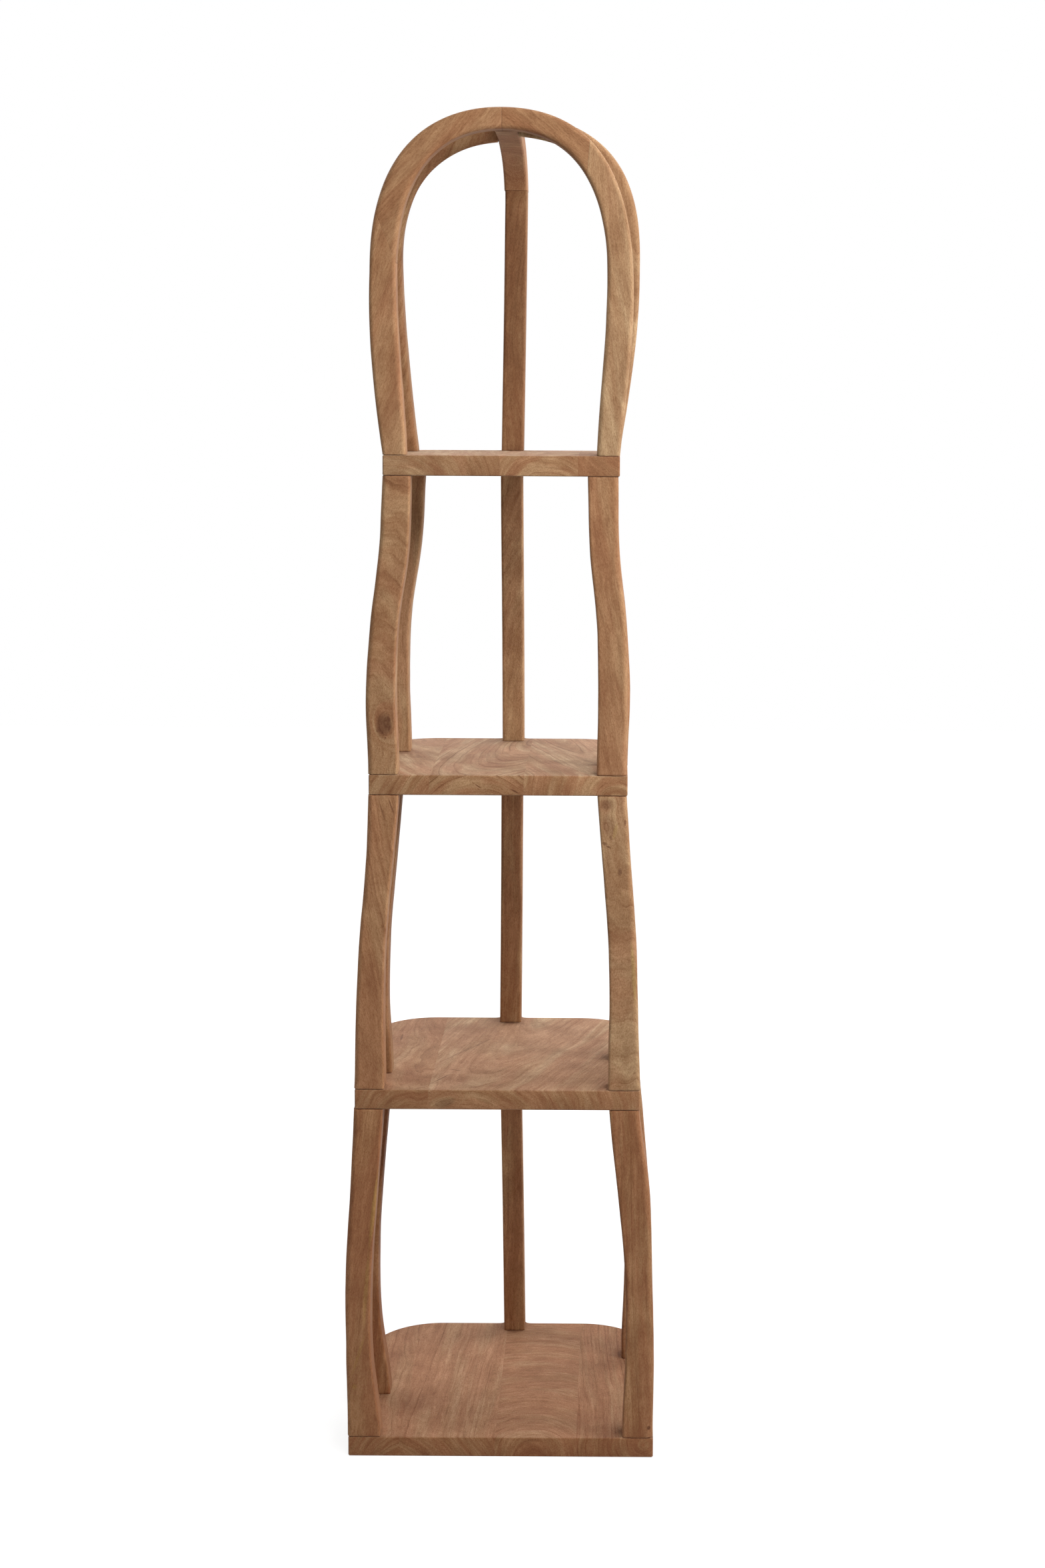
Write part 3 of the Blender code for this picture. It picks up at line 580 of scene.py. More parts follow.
def spine_frame():
    """The spine's own frame: its Y runs back along the spine, from the front arch's back face."""
    run = seat_depth(TOP) - POST_THICKNESS
    turn = -math.atan((BACK_POST_LINE[TOP][1] - SPINE_FRONT_X) / run)
    return Matrix.Translation((SPINE_FRONT_X, POST_THICKNESS, crown_top())) @ Matrix.Rotation(turn, 4, "Z")


def spine_edges():
    """The back member's two edges from below the top board to past the front arch.

    X is the depth behind the front arch and Y the height above the crown's top.
    """
    seat = seat_depth(TOP) - POST_THICKNESS
    foot, bend = -CROWN_HEIGHT, -SPINE_BEND_DROP
    share = np.linspace(0, 1, STEM_POINTS)[:-1]
    up = foot + (bend - foot) * share
    outer = seat + wave(CROWN_BACK.outer, share) * MM
    inner = outer - wave(CROWN_BACK.width, share) * MM
    back = seat + CROWN_BACK.outer[-1] * MM
    front = back - CROWN_BACK.width[-1] * MM
    edges = []
    for line, start, height, pulls in (
        (outer, back, 0, SPINE_OUTER_PULLS), (inner, front, -FRONT_INNER.top * MM, SPINE_INNER_PULLS),
    ):
        arc = cubic((start, bend), (start, bend + pulls[0]), (pulls[1], height), (0, height))
        stem = np.stack([line, up], 1)
        edges.append(np.concatenate([[(line[0], foot - SPARE)], stem, arc, [(-SPARE, height)]]))
    return edges


def build_spine():
    """The crown's back post and the spine are one curve in two pieces."""
    foot, seam, spine = board_top(TOP), crown_top() - SPINE_DROP, spine_frame()
    backward = spine.to_3x3() @ Vector((0, 1, 0))
    front = spine @ Vector((0, SPINE_GAP, 0))
    edges = spine_edges()
    cuts = ((0, 0, seam + SEAM), UP), (front, backward)
    band("crown_spine", "back_posts", *edges, SPINE_THICKNESS, spine @ FORE_AND_AFT, *cuts,
         breaks=(0.4, 0.3), seed=SPINE_SEED)
    foot_x, top_x = BACK_POST_LINE[TOP]
    stand = leaning(foot_x, POST_THICKNESS, foot, math.atan((top_x - foot_x) / (seam - foot)))
    stand = stand @ Matrix.Translation((0, 0, CROWN_HEIGHT)) @ FORE_AND_AFT
    cuts = ((0, 0, foot + SEAM), UP), ((0, 0, seam - SEAM), DOWN)
    band("crown_back_post", "back_posts", *edges, BACK_POST_THICKNESS, stand, *cuts,
         breaks=(1, 0.4), seed=SPINE_SEED)


def build_side_arch(side):
    """Saws a side arch, which leans forward from its foot and butts against the spine."""
    foot_depth, top_depth = SIDE_ARCH_DEPTHS[side]
    foot = board_top(TOP)
    lean = math.atan((foot_depth - top_depth) / CROWN_HEIGHT)
    height = CROWN_HEIGHT / math.cos(lean)
    edges = [arch_edge(edge[side], side, height) for edge in (SIDE_OUTER, SIDE_INNER)]
    matrix = Matrix.Translation((0, foot_depth + POST_THICKNESS / 2, foot))
    matrix = matrix @ Matrix.Rotation(lean, 4, "X") @ Matrix.Rotation(math.pi / 2, 4, "X")
    spine = spine_frame()
    away = spine.to_3x3() @ Vector((side, 0, 0))
    wall = spine @ Vector((side * (SPINE_THICKNESS / 2 - WALL_SINK), 0, 0))
    cuts = ((0, 0, foot + SEAM), UP), (wall, away)
    node = f"crown_side_arch_{SIDE_WORDS[side]}"
    band(node, "crown", *edges, POST_THICKNESS, matrix, *cuts, breaks=(0.5, 0.3), soft=CROWN_SOFT)


def board_outline(level):
    """Outline of a board and its outward directions: square front, round back, and a tongue.

    Straight runs have few points. Each round corner is a quarter circle, and the tongue's sides
    are quarter ellipses.
    """
    board = BOARDS[level]
    half, deep, r = board.width / 2, board.depth, board.corner
    quarter = np.linspace(0, math.pi / 2, CORNER_POINTS)
    small = quarter[::4]
    seat = BACK_POST_LINE[level][0] - board.shift
    reach = BACK_POST_THICKNESS / 2 + TONGUE_SPARE
    ramp = np.stack([reach + TONGUE_FILLET * (1 - np.sin(small)), TONGUE * (1 - np.cos(small))], 1)
    front = BOARD_NOSE * np.stack([np.sin(small) - 1, 1 - np.cos(small)], 1) + (half, 0)
    back = np.stack([half - r + r * np.cos(quarter), deep - r + r * np.sin(quarter)], 1)
    right = np.concatenate([front, back, ramp + (seat, deep)])
    mirrored = (-1, 1)
    left = [ramp[::-1] * mirrored + (seat, deep), back[::-1] * mirrored, front[::-1] * mirrored]
    line = np.concatenate([right, *left])
    closed = np.concatenate([line[-1:], line, line[:1]])
    step = closed[2:] - closed[:-2]
    normal = np.stack([step[:, 1], -step[:, 0]], 1)
    normal /= np.linalg.norm(normal, axis=1, keepdims=True)
    return line + (board.shift, 0), normal


def board_shell(level):
    """The whole board as a closed skin: an edge profile carried round the outline.

    The profile is a quarter circle below, a straight edge, and a quarter circle above.
    """
    line, normal = board_outline(level)
    r, half = sizes().board_arris, BOARD_THICKNESS / 2
    turn = np.linspace(0, math.pi / 2, ROUND_POINTS)
    inset = np.r_[r * (1 - np.sin(turn)), r * (1 - np.cos(turn))]
    height = np.r_[-half + r * (1 - np.cos(turn)), half - r + r * np.sin(turn)]
    place = line - normal[None] * inset[:, None, None]
    rings = np.dstack([place, np.broadcast_to(height[:, None], place.shape[:2])])
    return rings + (0, 0, board_top(level) - half)


def build_board(level):
    """Saws the board's skin into its staves along the glue lines, and closes the cut faces."""
    board = BOARDS[level]
    rings = board_shell(level) + np.array(ORIGIN)
    count, ring = rings.shape[:2]
    faces = ring_quads(count, ring).tolist()
    faces += [list(range(ring))[::-1], list(range((count - 1) * ring, count * ring))]
    seams = [None, *(board.shift + ORIGIN.x + seam for seam in board.seams), None]
    for number, (left, right) in enumerate(zip(seams, seams[1:]), 1):
        node = f"{board.name}_stave_{number}"
        mesh = bpy.data.meshes.new("wood_" + node)
        mesh.from_pydata(rings.reshape(-1, 3), [], faces)
        shape = bmesh.new()
        shape.from_mesh(mesh)
        for seam, outward in ((left, -1), (right, 1)):
            if seam is None:
                continue
            cut = bmesh.ops.bisect_plane(
                shape, geom=shape.verts[:] + shape.edges[:] + shape.faces[:], clear_outer=True,
                plane_co=(seam - outward * GLUE_LINE, 0, 0), plane_no=(outward, 0, 0),
            )
            rim = [item for item in cut["geom_cut"] if isinstance(item, bmesh.types.BMEdge)]
            bmesh.ops.contextual_create(shape, geom=rim)
        bmesh.ops.recalc_face_normals(shape, faces=shape.faces)
        shape.to_mesh(mesh)
        shape.free()
        mesh.polygons.foreach_set("use_smooth", np.ones(len(mesh.polygons), bool))
        mesh.set_sharp_from_angle(angle=SHARP_ANGLE)
        show(mesh, node, "boards")


class Bench:
    """Adds shader nodes to a material or a world and links them."""

    def __init__(self, owner):
        owner.use_nodes = True
        self.tree = owner.node_tree
        self.tree.nodes.clear()

    def add(self, kind, inputs=(), **settings):
        node = self.tree.nodes.new(kind)
        for key, value in settings.items():
            setattr(node, key, value)
        for key, value in dict(inputs).items():
            if isinstance(value, bpy.types.NodeSocket):
                self.tree.links.new(value, node.inputs[key])
            else:
                node.inputs[key].default_value = value
        return node

    def math(self, operation, *values):
        return self.add("ShaderNodeMath", enumerate(values), operation=operation).outputs[0]

    def vector(self, operation, *values):
        out = "Value" if operation in ("LENGTH", "DOT_PRODUCT") else "Vector"
        return self.add("ShaderNodeVectorMath", enumerate(values), operation=operation).outputs[out]

    def scale(self, vector, factor):
        return self.add("ShaderNodeVectorMath", {0: vector, "Scale": factor}, operation="SCALE").outputs[0]

    def noise(self, place, rate, detail, roughness, ring=None, out="Fac"):
        """Noise with so many turns per metre along each axis, and one more along a ring's number."""
        place = self.vector("MULTIPLY", place, rate)
        inputs = {"Vector": place, "Scale": 1.0, "Detail": detail, "Roughness": roughness}
        if ring is None:
            return self.add("ShaderNodeTexNoise", inputs).outputs[out]
        return self.add("ShaderNodeTexNoise", {**inputs, "W": ring}, noise_dimensions="4D").outputs[out]

    def span(self, value, low, high, start=0.0, end=1.0):
        inputs = {"Value": value, "From Min": low, "From Max": high, "To Min": start, "To Max": end}
        return self.add("ShaderNodeMapRange", inputs, interpolation_type="SMOOTHSTEP").outputs["Result"]

    def mix(self, share, a, b):
        node = self.add("ShaderNodeMix", data_type="RGBA")
        for socket, value in ((node.inputs[0], share), (node.inputs[6], a), (node.inputs[7], b)):
            if isinstance(value, bpy.types.NodeSocket):
                self.tree.links.new(value, socket)
            else:
                socket.default_value = value
        return node.outputs[2]


# How a piece was sawn from its log. Pith is a point of the log's heart line in millimetres from the
# piece's middle, lean is the heart line's turn in degrees, ring the growth rings' spacing, wander how
# far they stray and twist how quickly, line the strength of the dark lines, band that of the broad
# bands, rosy the share of reddish wood, shade a factor on the lightness and gold on the yellowness.
# Shade and gold are partly the piece's own tone and partly painted light and shade: they make the
# bottom board's staves darker near the floor and several back and side posts lighter.
Timber = namedtuple(
    "Timber", "pith lean ring wander twist line band rosy shade gold",
    defaults=((4, 3, 0), 9, 14, 1.0, 0.6, 1.0, 0.45, 1.0, 1.0),
)
# A knot or mark: its place in metres, its half sizes in millimetres, how dark it is or, below zero,
# how yellow, its turn in the front view and its turn seen from above, in degrees.
Knot = namedtuple("Knot", "x y z wide deep tall dark turn spin", defaults=(0, 0))
FRONT = ORIGIN.y
SECOND_TOP = board_top(1)
ALONG_BOARD = (90, 0, 0)
THIN_MARK = 2.2       # a mark narrower than this hardly strays with the grain
MARK_DRIFT, THIN_MARK_DRIFT = 0.3, 0.08
WHORL_SIZE = 4        # a knot wider than this bends the rings around it
WHORL_RINGS = 4.5     # how many rings it pushes aside
WHORL_LINE = 0.8      # how strong the lines are around it
# Distances over which a knot's stain and whorl fade in, in half sizes of the knot.
STAIN_EDGE, WHORL_EDGE, WHORL_REACH = (1.1, 0.5), (1.3, 0.7), (2.4, 0.1)

# Each noise has its turns per metre, twice across the grain and once along it, its detail and its
# roughness. Bands, hues and streaks also change from one growth ring to the next.
DRIFT = (9, 9, 4), 3.0, 0.55
PATCH = (16, 16, 6), 2.0, 0.5
BAND, BAND_STEP = ((11, 11, 4), 2.0, 0.55), 0.55
HUE, HUE_STEP, HUE_START = ((13, 13, 6), 2.0, 0.5), 0.4, 9.0
STREAK, STREAK_STEP = ((45, 45, 16), 3.0, 0.65), 330.0
CLOUD = (30, 30, 22), 3.0, 0.6
FIBRE = (460, 460, 90), 3.0, 0.65
GRIT = (850, 850, 330), 2.0, 0.7
PORE_EDGE = (0.56, 0.66)
BAND_SOFTNESS, HUE_SOFTNESS = 0.12, 0.07
PLAIN_HUE, ROSY_HUE, ROSY_SHARE = 0.67, 0.24, 0.8
# A growth ring's dark line: how strengths differ from year to year and along it, and how sharp it is.
YEAR_POWER, PATCH_EDGE, LINE_POWER, LINE_END = 1.5, (0.34, 0.6, 0.15, 1.0), 6.0, 0.95
# How strongly each noise and mark changes the wood's lightness. The arris's is a painted highlight
# that makes the rounded edges a little paler.
BAND_SWING, CLOUD_SWING, STREAK_SWING, FIBRE_SWING, GRIT_SWING = 0.6, 0.6, 0.9, 0.6, 1.15
LINE_SHADE, PORE_SHADE, ARRIS_PAINTED_HIGHLIGHT, END_SHADE = -0.85, -0.14, 0.03, -0.6
# Darker wood is redder. The flat faces of the boards are paler and cooler than their edges: a
# painted sheen, for the pale reflection that a flat face shows at a shallow angle.
GREEN_POWER, BLUE_POWER, GOLD_POWER = 1.3, 1.5, 1.6
FACE_PAINTED_SHEEN, SHEEN_FACE_EDGE = (1.0, 1.13, 1.34), (0.3, 0.9)
SHEEN_ROUGHNESS, ROUGHNESS_SWING = 0.5, 0.16
BUMP_DEPTH, BUMP_STRENGTH = 0.5 * MM, 0.4
PORE_DENT, STREAK_RISE, LINE_DENT = -0.8, 0.6, -0.2
# Pieces without a timber of their own are sawn anywhere within these limits.
ANY_PITH, ANY_LEAN, ANY_ROSY = (-90, 90), (-6, 6), (0.3, 0.7)
TIMBERS = {
    "bottom_shelf_stave_1": Timber(
        (70, 0, -60), (2, 0, -2), ring=5, wander=12,
        line=0.65, band=0.6, rosy=0.8, shade=0.92, gold=0.91,
    ),
    "bottom_shelf_stave_2": Timber(
        (-105, 0, -100), (1, 0, -2), ring=5, wander=7, twist=0.8,
        line=0.9, band=0.6, rosy=0.85, shade=0.98, gold=0.92,
    ),
    "bottom_shelf_stave_3": Timber(
        (-5, -204, -28), (-45, 0, 0), ring=7, wander=9,
        line=0.55, band=0.55, rosy=0.85, shade=0.94, gold=0.91,
    ),
    "bottom_shelf_stave_4": Timber(
        (31.5, 0, 5), (0, 0, 2), ring=5.5, wander=9, twist=1.4,
        line=0.8, band=0.7, rosy=0.85, shade=0.88, gold=0.91,
    ),
    "second_shelf_stave_1": Timber(
        (60, 0, -60), (3, 0, -5), ring=5, wander=24,
        line=0.45, band=0.6, rosy=0.75, shade=0.93, gold=0.95,
    ),
    "second_shelf_stave_2": Timber(
        (-40, 0, -45), (5, 0, -16), ring=8, wander=16, twist=0.8,
        line=0.45, band=0.9, rosy=0.75, shade=1.02,
    ),
    "third_shelf_stave_1": Timber((50, 0, -50), (3, 0, 16), ring=6, line=0.7, rosy=0.6),
    "third_shelf_stave_2": Timber(
        (45, 0, -30), (12, 0, -14), ring=6, wander=8, line=1, band=1.2, rosy=0.6, shade=0.98,
    ),
    "third_shelf_stave_3": Timber(
        (10, 0, -8), (4, 0, 14), ring=7, wander=8, line=0.8, band=1.2, rosy=0.55,
    ),
    "top_shelf_stave_1": Timber((-70, 0, -45), (0, 0, 4), ring=7, wander=12, line=0.5, gold=1.05),
    "top_shelf_stave_2": Timber((20, 0, -40), (3, 0, -3), ring=6.5, line=0.6, gold=1.02),
    "top_shelf_stave_3": Timber((60, 0, 90), ring=12, line=0.15, band=0.4, rosy=0.8, shade=0.85),
    "bottom_front_left_post": Timber(
        (60, 50, 0), (2, 9, 0), ring=10, wander=10, line=0.35, band=0.8, rosy=0.85, gold=0.9,
    ),
    "bottom_front_right_post": Timber(
        (45, 40, 0), (1, -1, 0), ring=4.5, wander=5, line=0.45, rosy=0.8, shade=0.95, gold=0.925,
    ),
    "bottom_side_left_post": Timber(
        (-60, 50, 0), (0, 4, 0), ring=7, line=0.4, rosy=0.8, shade=0.95, gold=0.87,
    ),
    "bottom_back_post": Timber(
        (60, -60, 0), (2, 1, 0), ring=6, wander=8, line=0.3, rosy=0.7, shade=1.24, gold=0.96,
    ),
    "middle_front_left_post": Timber(
        (-70, 30, 0), (6, -14, 0), ring=14, wander=10,
        line=0.5, band=0.6, rosy=0.75, shade=1.13, gold=0.96,
    ),
    "middle_front_right_post": Timber(
        (10, 38, 60), (22, 4, 0), ring=8, wander=14, twist=1.3,
        line=0.5, band=0.7, rosy=0.4, shade=1.1, gold=1.04,
    ),
    "middle_side_left_post": Timber((50, 50, 0), (0, 3, 0), ring=7, line=0.3, rosy=0.6),
    "middle_back_post": Timber(
        (60, -50, 0), (1, 2, 0), ring=6, wander=8, line=0.3, rosy=0.8, shade=1.05, gold=1.02,
    ),
    "upper_front_left_post": Timber(
        (-10, 55, 0), (-22, 6, 0), ring=10, wander=18, twist=1.2,
        line=0.6, band=1.1, rosy=0.5, shade=1.03, gold=1.01,
    ),
    "upper_front_right_post": Timber((-80, 60, 0), (3, -10, 0), ring=9, line=0.25, band=0.6, rosy=0.6),
    "upper_side_left_post": Timber(
        (50, 60, 0), (0, 2, 0), ring=5, line=0.5, band=0.7, rosy=0.85, shade=1.27, gold=1.03,
    ),
    "upper_back_post": Timber(
        (40, 55, 0), (-3, 2, 0), ring=7, wander=8, line=0.25, band=0.5, rosy=0.6, shade=1.28, gold=1.05,
    ),
    "crown_front_arch_left_leg": Timber(
        (50, 60, 0), (0, 18, 0), line=0.2, band=0.6, rosy=0.2, shade=0.96,
    ),
    "crown_front_arch_left_top": Timber(
        (80, 90, -80), (0, 42, 0), ring=8, line=0.12, band=0.4, rosy=0, shade=0.83,
    ),
    "crown_front_arch_right_top": Timber(
        (-80, 80, -80), (0, -48, 0), line=0.3, band=0.5, rosy=0.1, shade=0.8, gold=0.98,
    ),
    "crown_front_arch_right_leg": Timber(
        (-60, 50, 0), (0, -7, 0), ring=8, line=0.2, band=0.7, rosy=0.1, shade=1.04, gold=1.1,
    ),
    "crown_side_arch_left": Timber(
        (40, 40, 0), (8, 24, 0), ring=7, line=0.6, band=0.9, shade=0.98, gold=1.02,
    ),
    "crown_side_arch_right": Timber(
        (60, 30, 0), (0, -8, 0), ring=6, line=0.3, rosy=0, shade=1.07, gold=1.11,
    ),
    "crown_back_post": Timber(
        (40, 40, 0), (2, 4, 0), ring=9, wander=10, line=0.35, band=0.7, shade=0.76, gold=1.02,
    ),
    "crown_spine": Timber((0, 60, -30), (35, 0, 0), ring=10, line=0.2, band=0.6, rosy=0.85),
}
KNOTS = {
    "upper_front_left_post": (
        Knot(-0.1527, FRONT, 0.9965, 12, 25, 18, 0.8),
        Knot(-0.1460, FRONT, 1.0045, 2.2, 8, 4.5, 0.95, -20),
        Knot(-0.1450, FRONT, 0.9920, 1.6, 8, 5, 0.9, 12),
        Knot(-0.1500, FRONT, 0.9790, 1.2, 5, 1.4, 0.9),
        Knot(-0.1600, FRONT, 0.9900, 3.0, 8, 5, 0.5, 30),
    ),
    "bottom_front_right_post": (Knot(0.2029, FRONT, 0.0414, 3, 6, 3.5, 0.85),),
    "bottom_front_left_post": (
        Knot(-0.1665, FRONT, 0.3470, 3.8, 12, 66, -1.0, 7),
        Knot(-0.1780, FRONT, 0.2300, 3.4, 12, 60, -0.6, 4),
        Knot(-0.1890, FRONT, 0.1400, 2.5, 12, 34, -0.5, 18),
        Knot(-0.1947, FRONT, 0.0967, 4, 8, 4, -0.7),
    ),
    "middle_front_right_post": (
        Knot(0.1425, FRONT, 0.8915, 9, 12, 8, 0.5),
        Knot(0.1445, FRONT, 0.8630, 8.5, 12, 17, 0.38, -8),
        Knot(0.1480, FRONT, 0.8470, 2.1, 8, 4, 0.6, -25),
        Knot(0.1442, FRONT, 0.8352, 4.2, 8, 1.7, 0.75, 28),
        Knot(0.1390, FRONT, 0.8395, 4.5, 8, 2.6, 0.6, 20),
        Knot(0.1599, FRONT, 0.8016, 3.2, 8, 6, 0.6),
        Knot(0.1530, FRONT, 0.8560, 3.0, 8, 12, -0.5, 12),
        Knot(0.1663, FRONT, 0.8680, 1.5, 6, 5, 0.85),
        Knot(0.1783, FRONT, 0.6657, 3.5, 12, 45, -0.7, -3),
    ),
    "middle_front_left_post": (
        Knot(-0.1426, FRONT, 0.8879, 1.2, 6, 12, 0.7, -19),
        Knot(-0.1549, FRONT, 0.8825, 1.0, 6, 16, 0.5, -17),
    ),
    "second_shelf_stave_1": (Knot(-0.1526, 0.0588, SECOND_TOP, 2, 22, 4, 0.6),),
    "second_shelf_stave_2": (
        Knot(-0.0720, -0.2000, 0.4880, 16, 40, 7, 0.5, -16),
        Knot(-0.0805, -0.1515, SECOND_TOP, 1.2, 27, 4, 0.8, 0, -26),
        Knot(-0.0640, -0.1100, SECOND_TOP, 2.1, 11, 4, 0.6, 0, 65),
        Knot(-0.0545, -0.0060, SECOND_TOP, 3.2, 80, 4, 0.4, 0, -27),
    ),
    "third_shelf_stave_2": (
        Knot(-0.0281, FRONT, 0.9157, 6, 4, 0.7, 0.8, 35),
        Knot(0.0211, FRONT, 0.9089, 7, 4, 0.8, 0.9, 28),
    ),
}


def colour(value):
    return (*value, 1.0)


def swell(bench, noise, strength):
    """A factor that swings about 1: one plus the noise less its mean of a half, times a strength."""
    return bench.math("MULTIPLY_ADD", noise, strength, 1 - strength / 2)


def wood(name, middle, timber, flat, knots=()):
    """Oiled solid wood, cut out of a log.

    The growth rings are the distance from the heart line, bent by noise and divided by the rings'
    spacing. Each ring darkens slowly and ends in a sharp line of varying strength. Broad bands and
    fine streaks are noise that changes quickly from ring to ring and slowly along them. Fibres and
    pores are noise that is drawn out along the grain. What darkens the wood reddens it too: the
    factor is raised to a higher power for green and blue than for red.
    """
    look = finish()
    material = bpy.data.materials.new(name)
    bench = Bench(material)
    place = bench.add("ShaderNodeTexCoord").outputs["Object"]
    turn = [math.radians(a + b) for a, b in zip(timber.lean, ALONG_BOARD if flat else (0, 0, 0))]
    pith = [m + p * MM for m, p in zip(middle, timber.pith)]
    inputs = {"Vector": place, "Location": pith, "Rotation": turn}
    log = bench.add("ShaderNodeMapping", inputs, vector_type="TEXTURE").outputs[0]
    rates, *texture = DRIFT
    drift = bench.noise(log, [rate * timber.twist for rate in rates], *texture, out="Color")
    drift = bench.vector("SUBTRACT", drift, (0.5, 0.5, 0.5))
    drift = bench.vector("MULTIPLY", drift, (timber.wander * MM * 2,) * 2 + (0,))
    grown = bench.vector("ADD", log, drift)
    radius = bench.vector("LENGTH", bench.vector("MULTIPLY", grown, (1, 1, 0)))
    phase = bench.math("DIVIDE", radius, timber.ring * MM)
    cores, whorl = [], 0.0
    for knot in knots:
        strays = MARK_DRIFT if knot.wide > THIN_MARK else THIN_MARK_DRIFT
        near = bench.add("ShaderNodeMapping", {
            "Vector": bench.vector("ADD", place, bench.scale(drift, strays)), "Location": knot[:3],
            "Rotation": (0, math.radians(knot.turn), math.radians(knot.spin)),
            "Scale": [side * MM for side in knot[3:6]],
        }, vector_type="TEXTURE").outputs[0]
        away = bench.vector("LENGTH", near)
        if knot.wide > WHORL_SIZE:
            phase = bench.math("ADD", phase, bench.span(away, *WHORL_REACH, 0.0, WHORL_RINGS))
            whorl = bench.math("MAXIMUM", bench.span(away, *WHORL_EDGE), whorl)
        stain = look.umber if knot.dark > 0 else look.ochre
        cores.append((bench.math("MULTIPLY", bench.span(away, *STAIN_EDGE), abs(knot.dark)), colour(stain)))
    part = bench.math("FRACT", phase)
    inputs = {"W": bench.math("FLOOR", phase)}
    strength = bench.add("ShaderNodeTexWhiteNoise", inputs, noise_dimensions="1D").outputs["Value"]
    strength = bench.math("POWER", strength, YEAR_POWER)
    strength = bench.math("MULTIPLY", strength, bench.span(bench.noise(log, *PATCH), *PATCH_EDGE))
    strength = bench.math("MAXIMUM", strength, bench.math("MULTIPLY", whorl, WHORL_LINE))
    late = bench.math("MULTIPLY", bench.math("POWER", part, LINE_POWER), bench.span(part, 1.0, LINE_END))
    late = bench.math("MULTIPLY", bench.math("MULTIPLY", late, strength), timber.line)

    band = bench.noise(grown, *BAND, bench.math("MULTIPLY", phase, BAND_STEP))
    hue = bench.noise(grown, *HUE, bench.math("MULTIPLY_ADD", phase, HUE_STEP, HUE_START))
    streak = bench.noise(grown, *STREAK, bench.math("MULTIPLY", radius, STREAK_STEP))
    cloud, fibre, grit = bench.noise(place, *CLOUD), bench.noise(grown, *FIBRE), bench.noise(grown, *GRIT)
    pores = bench.span(grit, *PORE_EDGE)

    mellow = min(timber.band, 1)
    soft = BAND_SOFTNESS / mellow
    pale = bench.span(band, 0.5 - soft, 0.5 + soft)
    tone = bench.mix(pale, colour(look.tan), colour(look.honey))
    middle_hue, soft = PLAIN_HUE - ROSY_HUE * timber.rosy, HUE_SOFTNESS / mellow
    rosy = bench.span(hue, middle_hue - soft, middle_hue + soft)
    tone = bench.mix(bench.math("MULTIPLY", rosy, ROSY_SHARE), tone, colour(look.rosy))
    for core, stain in cores:
        tone = bench.mix(core, tone, stain)
    factor = swell(bench, band, BAND_SWING * timber.band)
    for noise, swing in (
        (cloud, CLOUD_SWING), (streak, STREAK_SWING), (fibre, FIBRE_SWING), (grit, GRIT_SWING),
    ):
        factor = bench.math("MULTIPLY", factor, swell(bench, noise, swing))
    # Painted highlight: the rounded arrises are made a little paler, as if they catch the light.
    arris = bench.add("ShaderNodeAttribute", attribute_name="arris").outputs["Fac"]
    ends = bench.add("ShaderNodeAttribute", attribute_name="sawn_end").outputs["Fac"]
    for mark, shade in ((late, LINE_SHADE), (pores, PORE_SHADE), (arris, ARRIS_PAINTED_HIGHLIGHT), (ends, END_SHADE)):
        factor = bench.math("MULTIPLY", factor, bench.math("MULTIPLY_ADD", mark, shade, 1.0))
    factor = bench.math("MULTIPLY", factor, timber.shade)
    green = bench.math("MULTIPLY", bench.math("POWER", factor, GREEN_POWER), timber.gold)
    blue = bench.math("MULTIPLY", bench.math("POWER", factor, BLUE_POWER), timber.gold**GOLD_POWER)
    tint = bench.add("ShaderNodeCombineXYZ", {0: factor, 1: green, 2: blue}).outputs[0]
    tone = bench.vector("MULTIPLY", tone, tint)
    # Painted sheen: faces that look up or down are paler and cooler than the boards' edges.
    if flat:
        normal = bench.add("ShaderNodeNewGeometry").outputs["Normal"]
        upward = bench.math("ABSOLUTE", bench.vector("DOT_PRODUCT", normal, UP))
        painted_sheen_tone = bench.vector("MULTIPLY", tone, FACE_PAINTED_SHEEN)
        tone = bench.mix(bench.span(upward, *SHEEN_FACE_EDGE), tone, painted_sheen_tone)

    height = fibre
    for mark, rise in ((pores, PORE_DENT), (streak, STREAK_RISE), (late, LINE_DENT)):
        height = bench.math("MULTIPLY_ADD", mark, rise, height)
    inputs = {"Height": height, "Strength": BUMP_STRENGTH, "Distance": BUMP_DEPTH}
    shader = bench.add("ShaderNodeBsdfPrincipled", {
        "Base Color": tone, "Normal": bench.add("ShaderNodeBump", inputs).outputs[0],
        "Roughness": bench.math("MULTIPLY_ADD", fibre, ROUGHNESS_SWING, look.roughness - ROUGHNESS_SWING / 2),
        "Specular IOR Level": look.specular, "Sheen Weight": look.sheen, "Sheen Roughness": SHEEN_ROUGHNESS,
    })
    bench.add("ShaderNodeOutputMaterial", {"Surface": shader.outputs[0]})
    return material


def wood_for(node):
    """The named piece's wood. A piece that has no timber of its own gets one drawn from its name."""
    low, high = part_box(node)
    middle = (low + high) / 2
    flat = "stave" in node
    timber = TIMBERS.get(node)
    if timber is None:
        draw = np.random.default_rng(sum(map(ord, node)) * 7)
        pith, lean = tuple(draw.uniform(*ANY_PITH, 3)), tuple(draw.uniform(*ANY_LEAN, 3))
        timber = Timber(pith, lean, rosy=draw.uniform(*ANY_ROSY))
    return wood("wood_" + node, middle, timber, flat, KNOTS.get(node, ()))


class SHELF_OT_boards(bpy.types.Operator):
    """Four boards, each glued up from staves that run from front to back"""

    bl_idname = "shelf.boards"
    bl_label = "Boards"

    def execute(self, context):
        for level in range(len(BOARDS)):
            build_board(level)
        return {"FINISHED"}


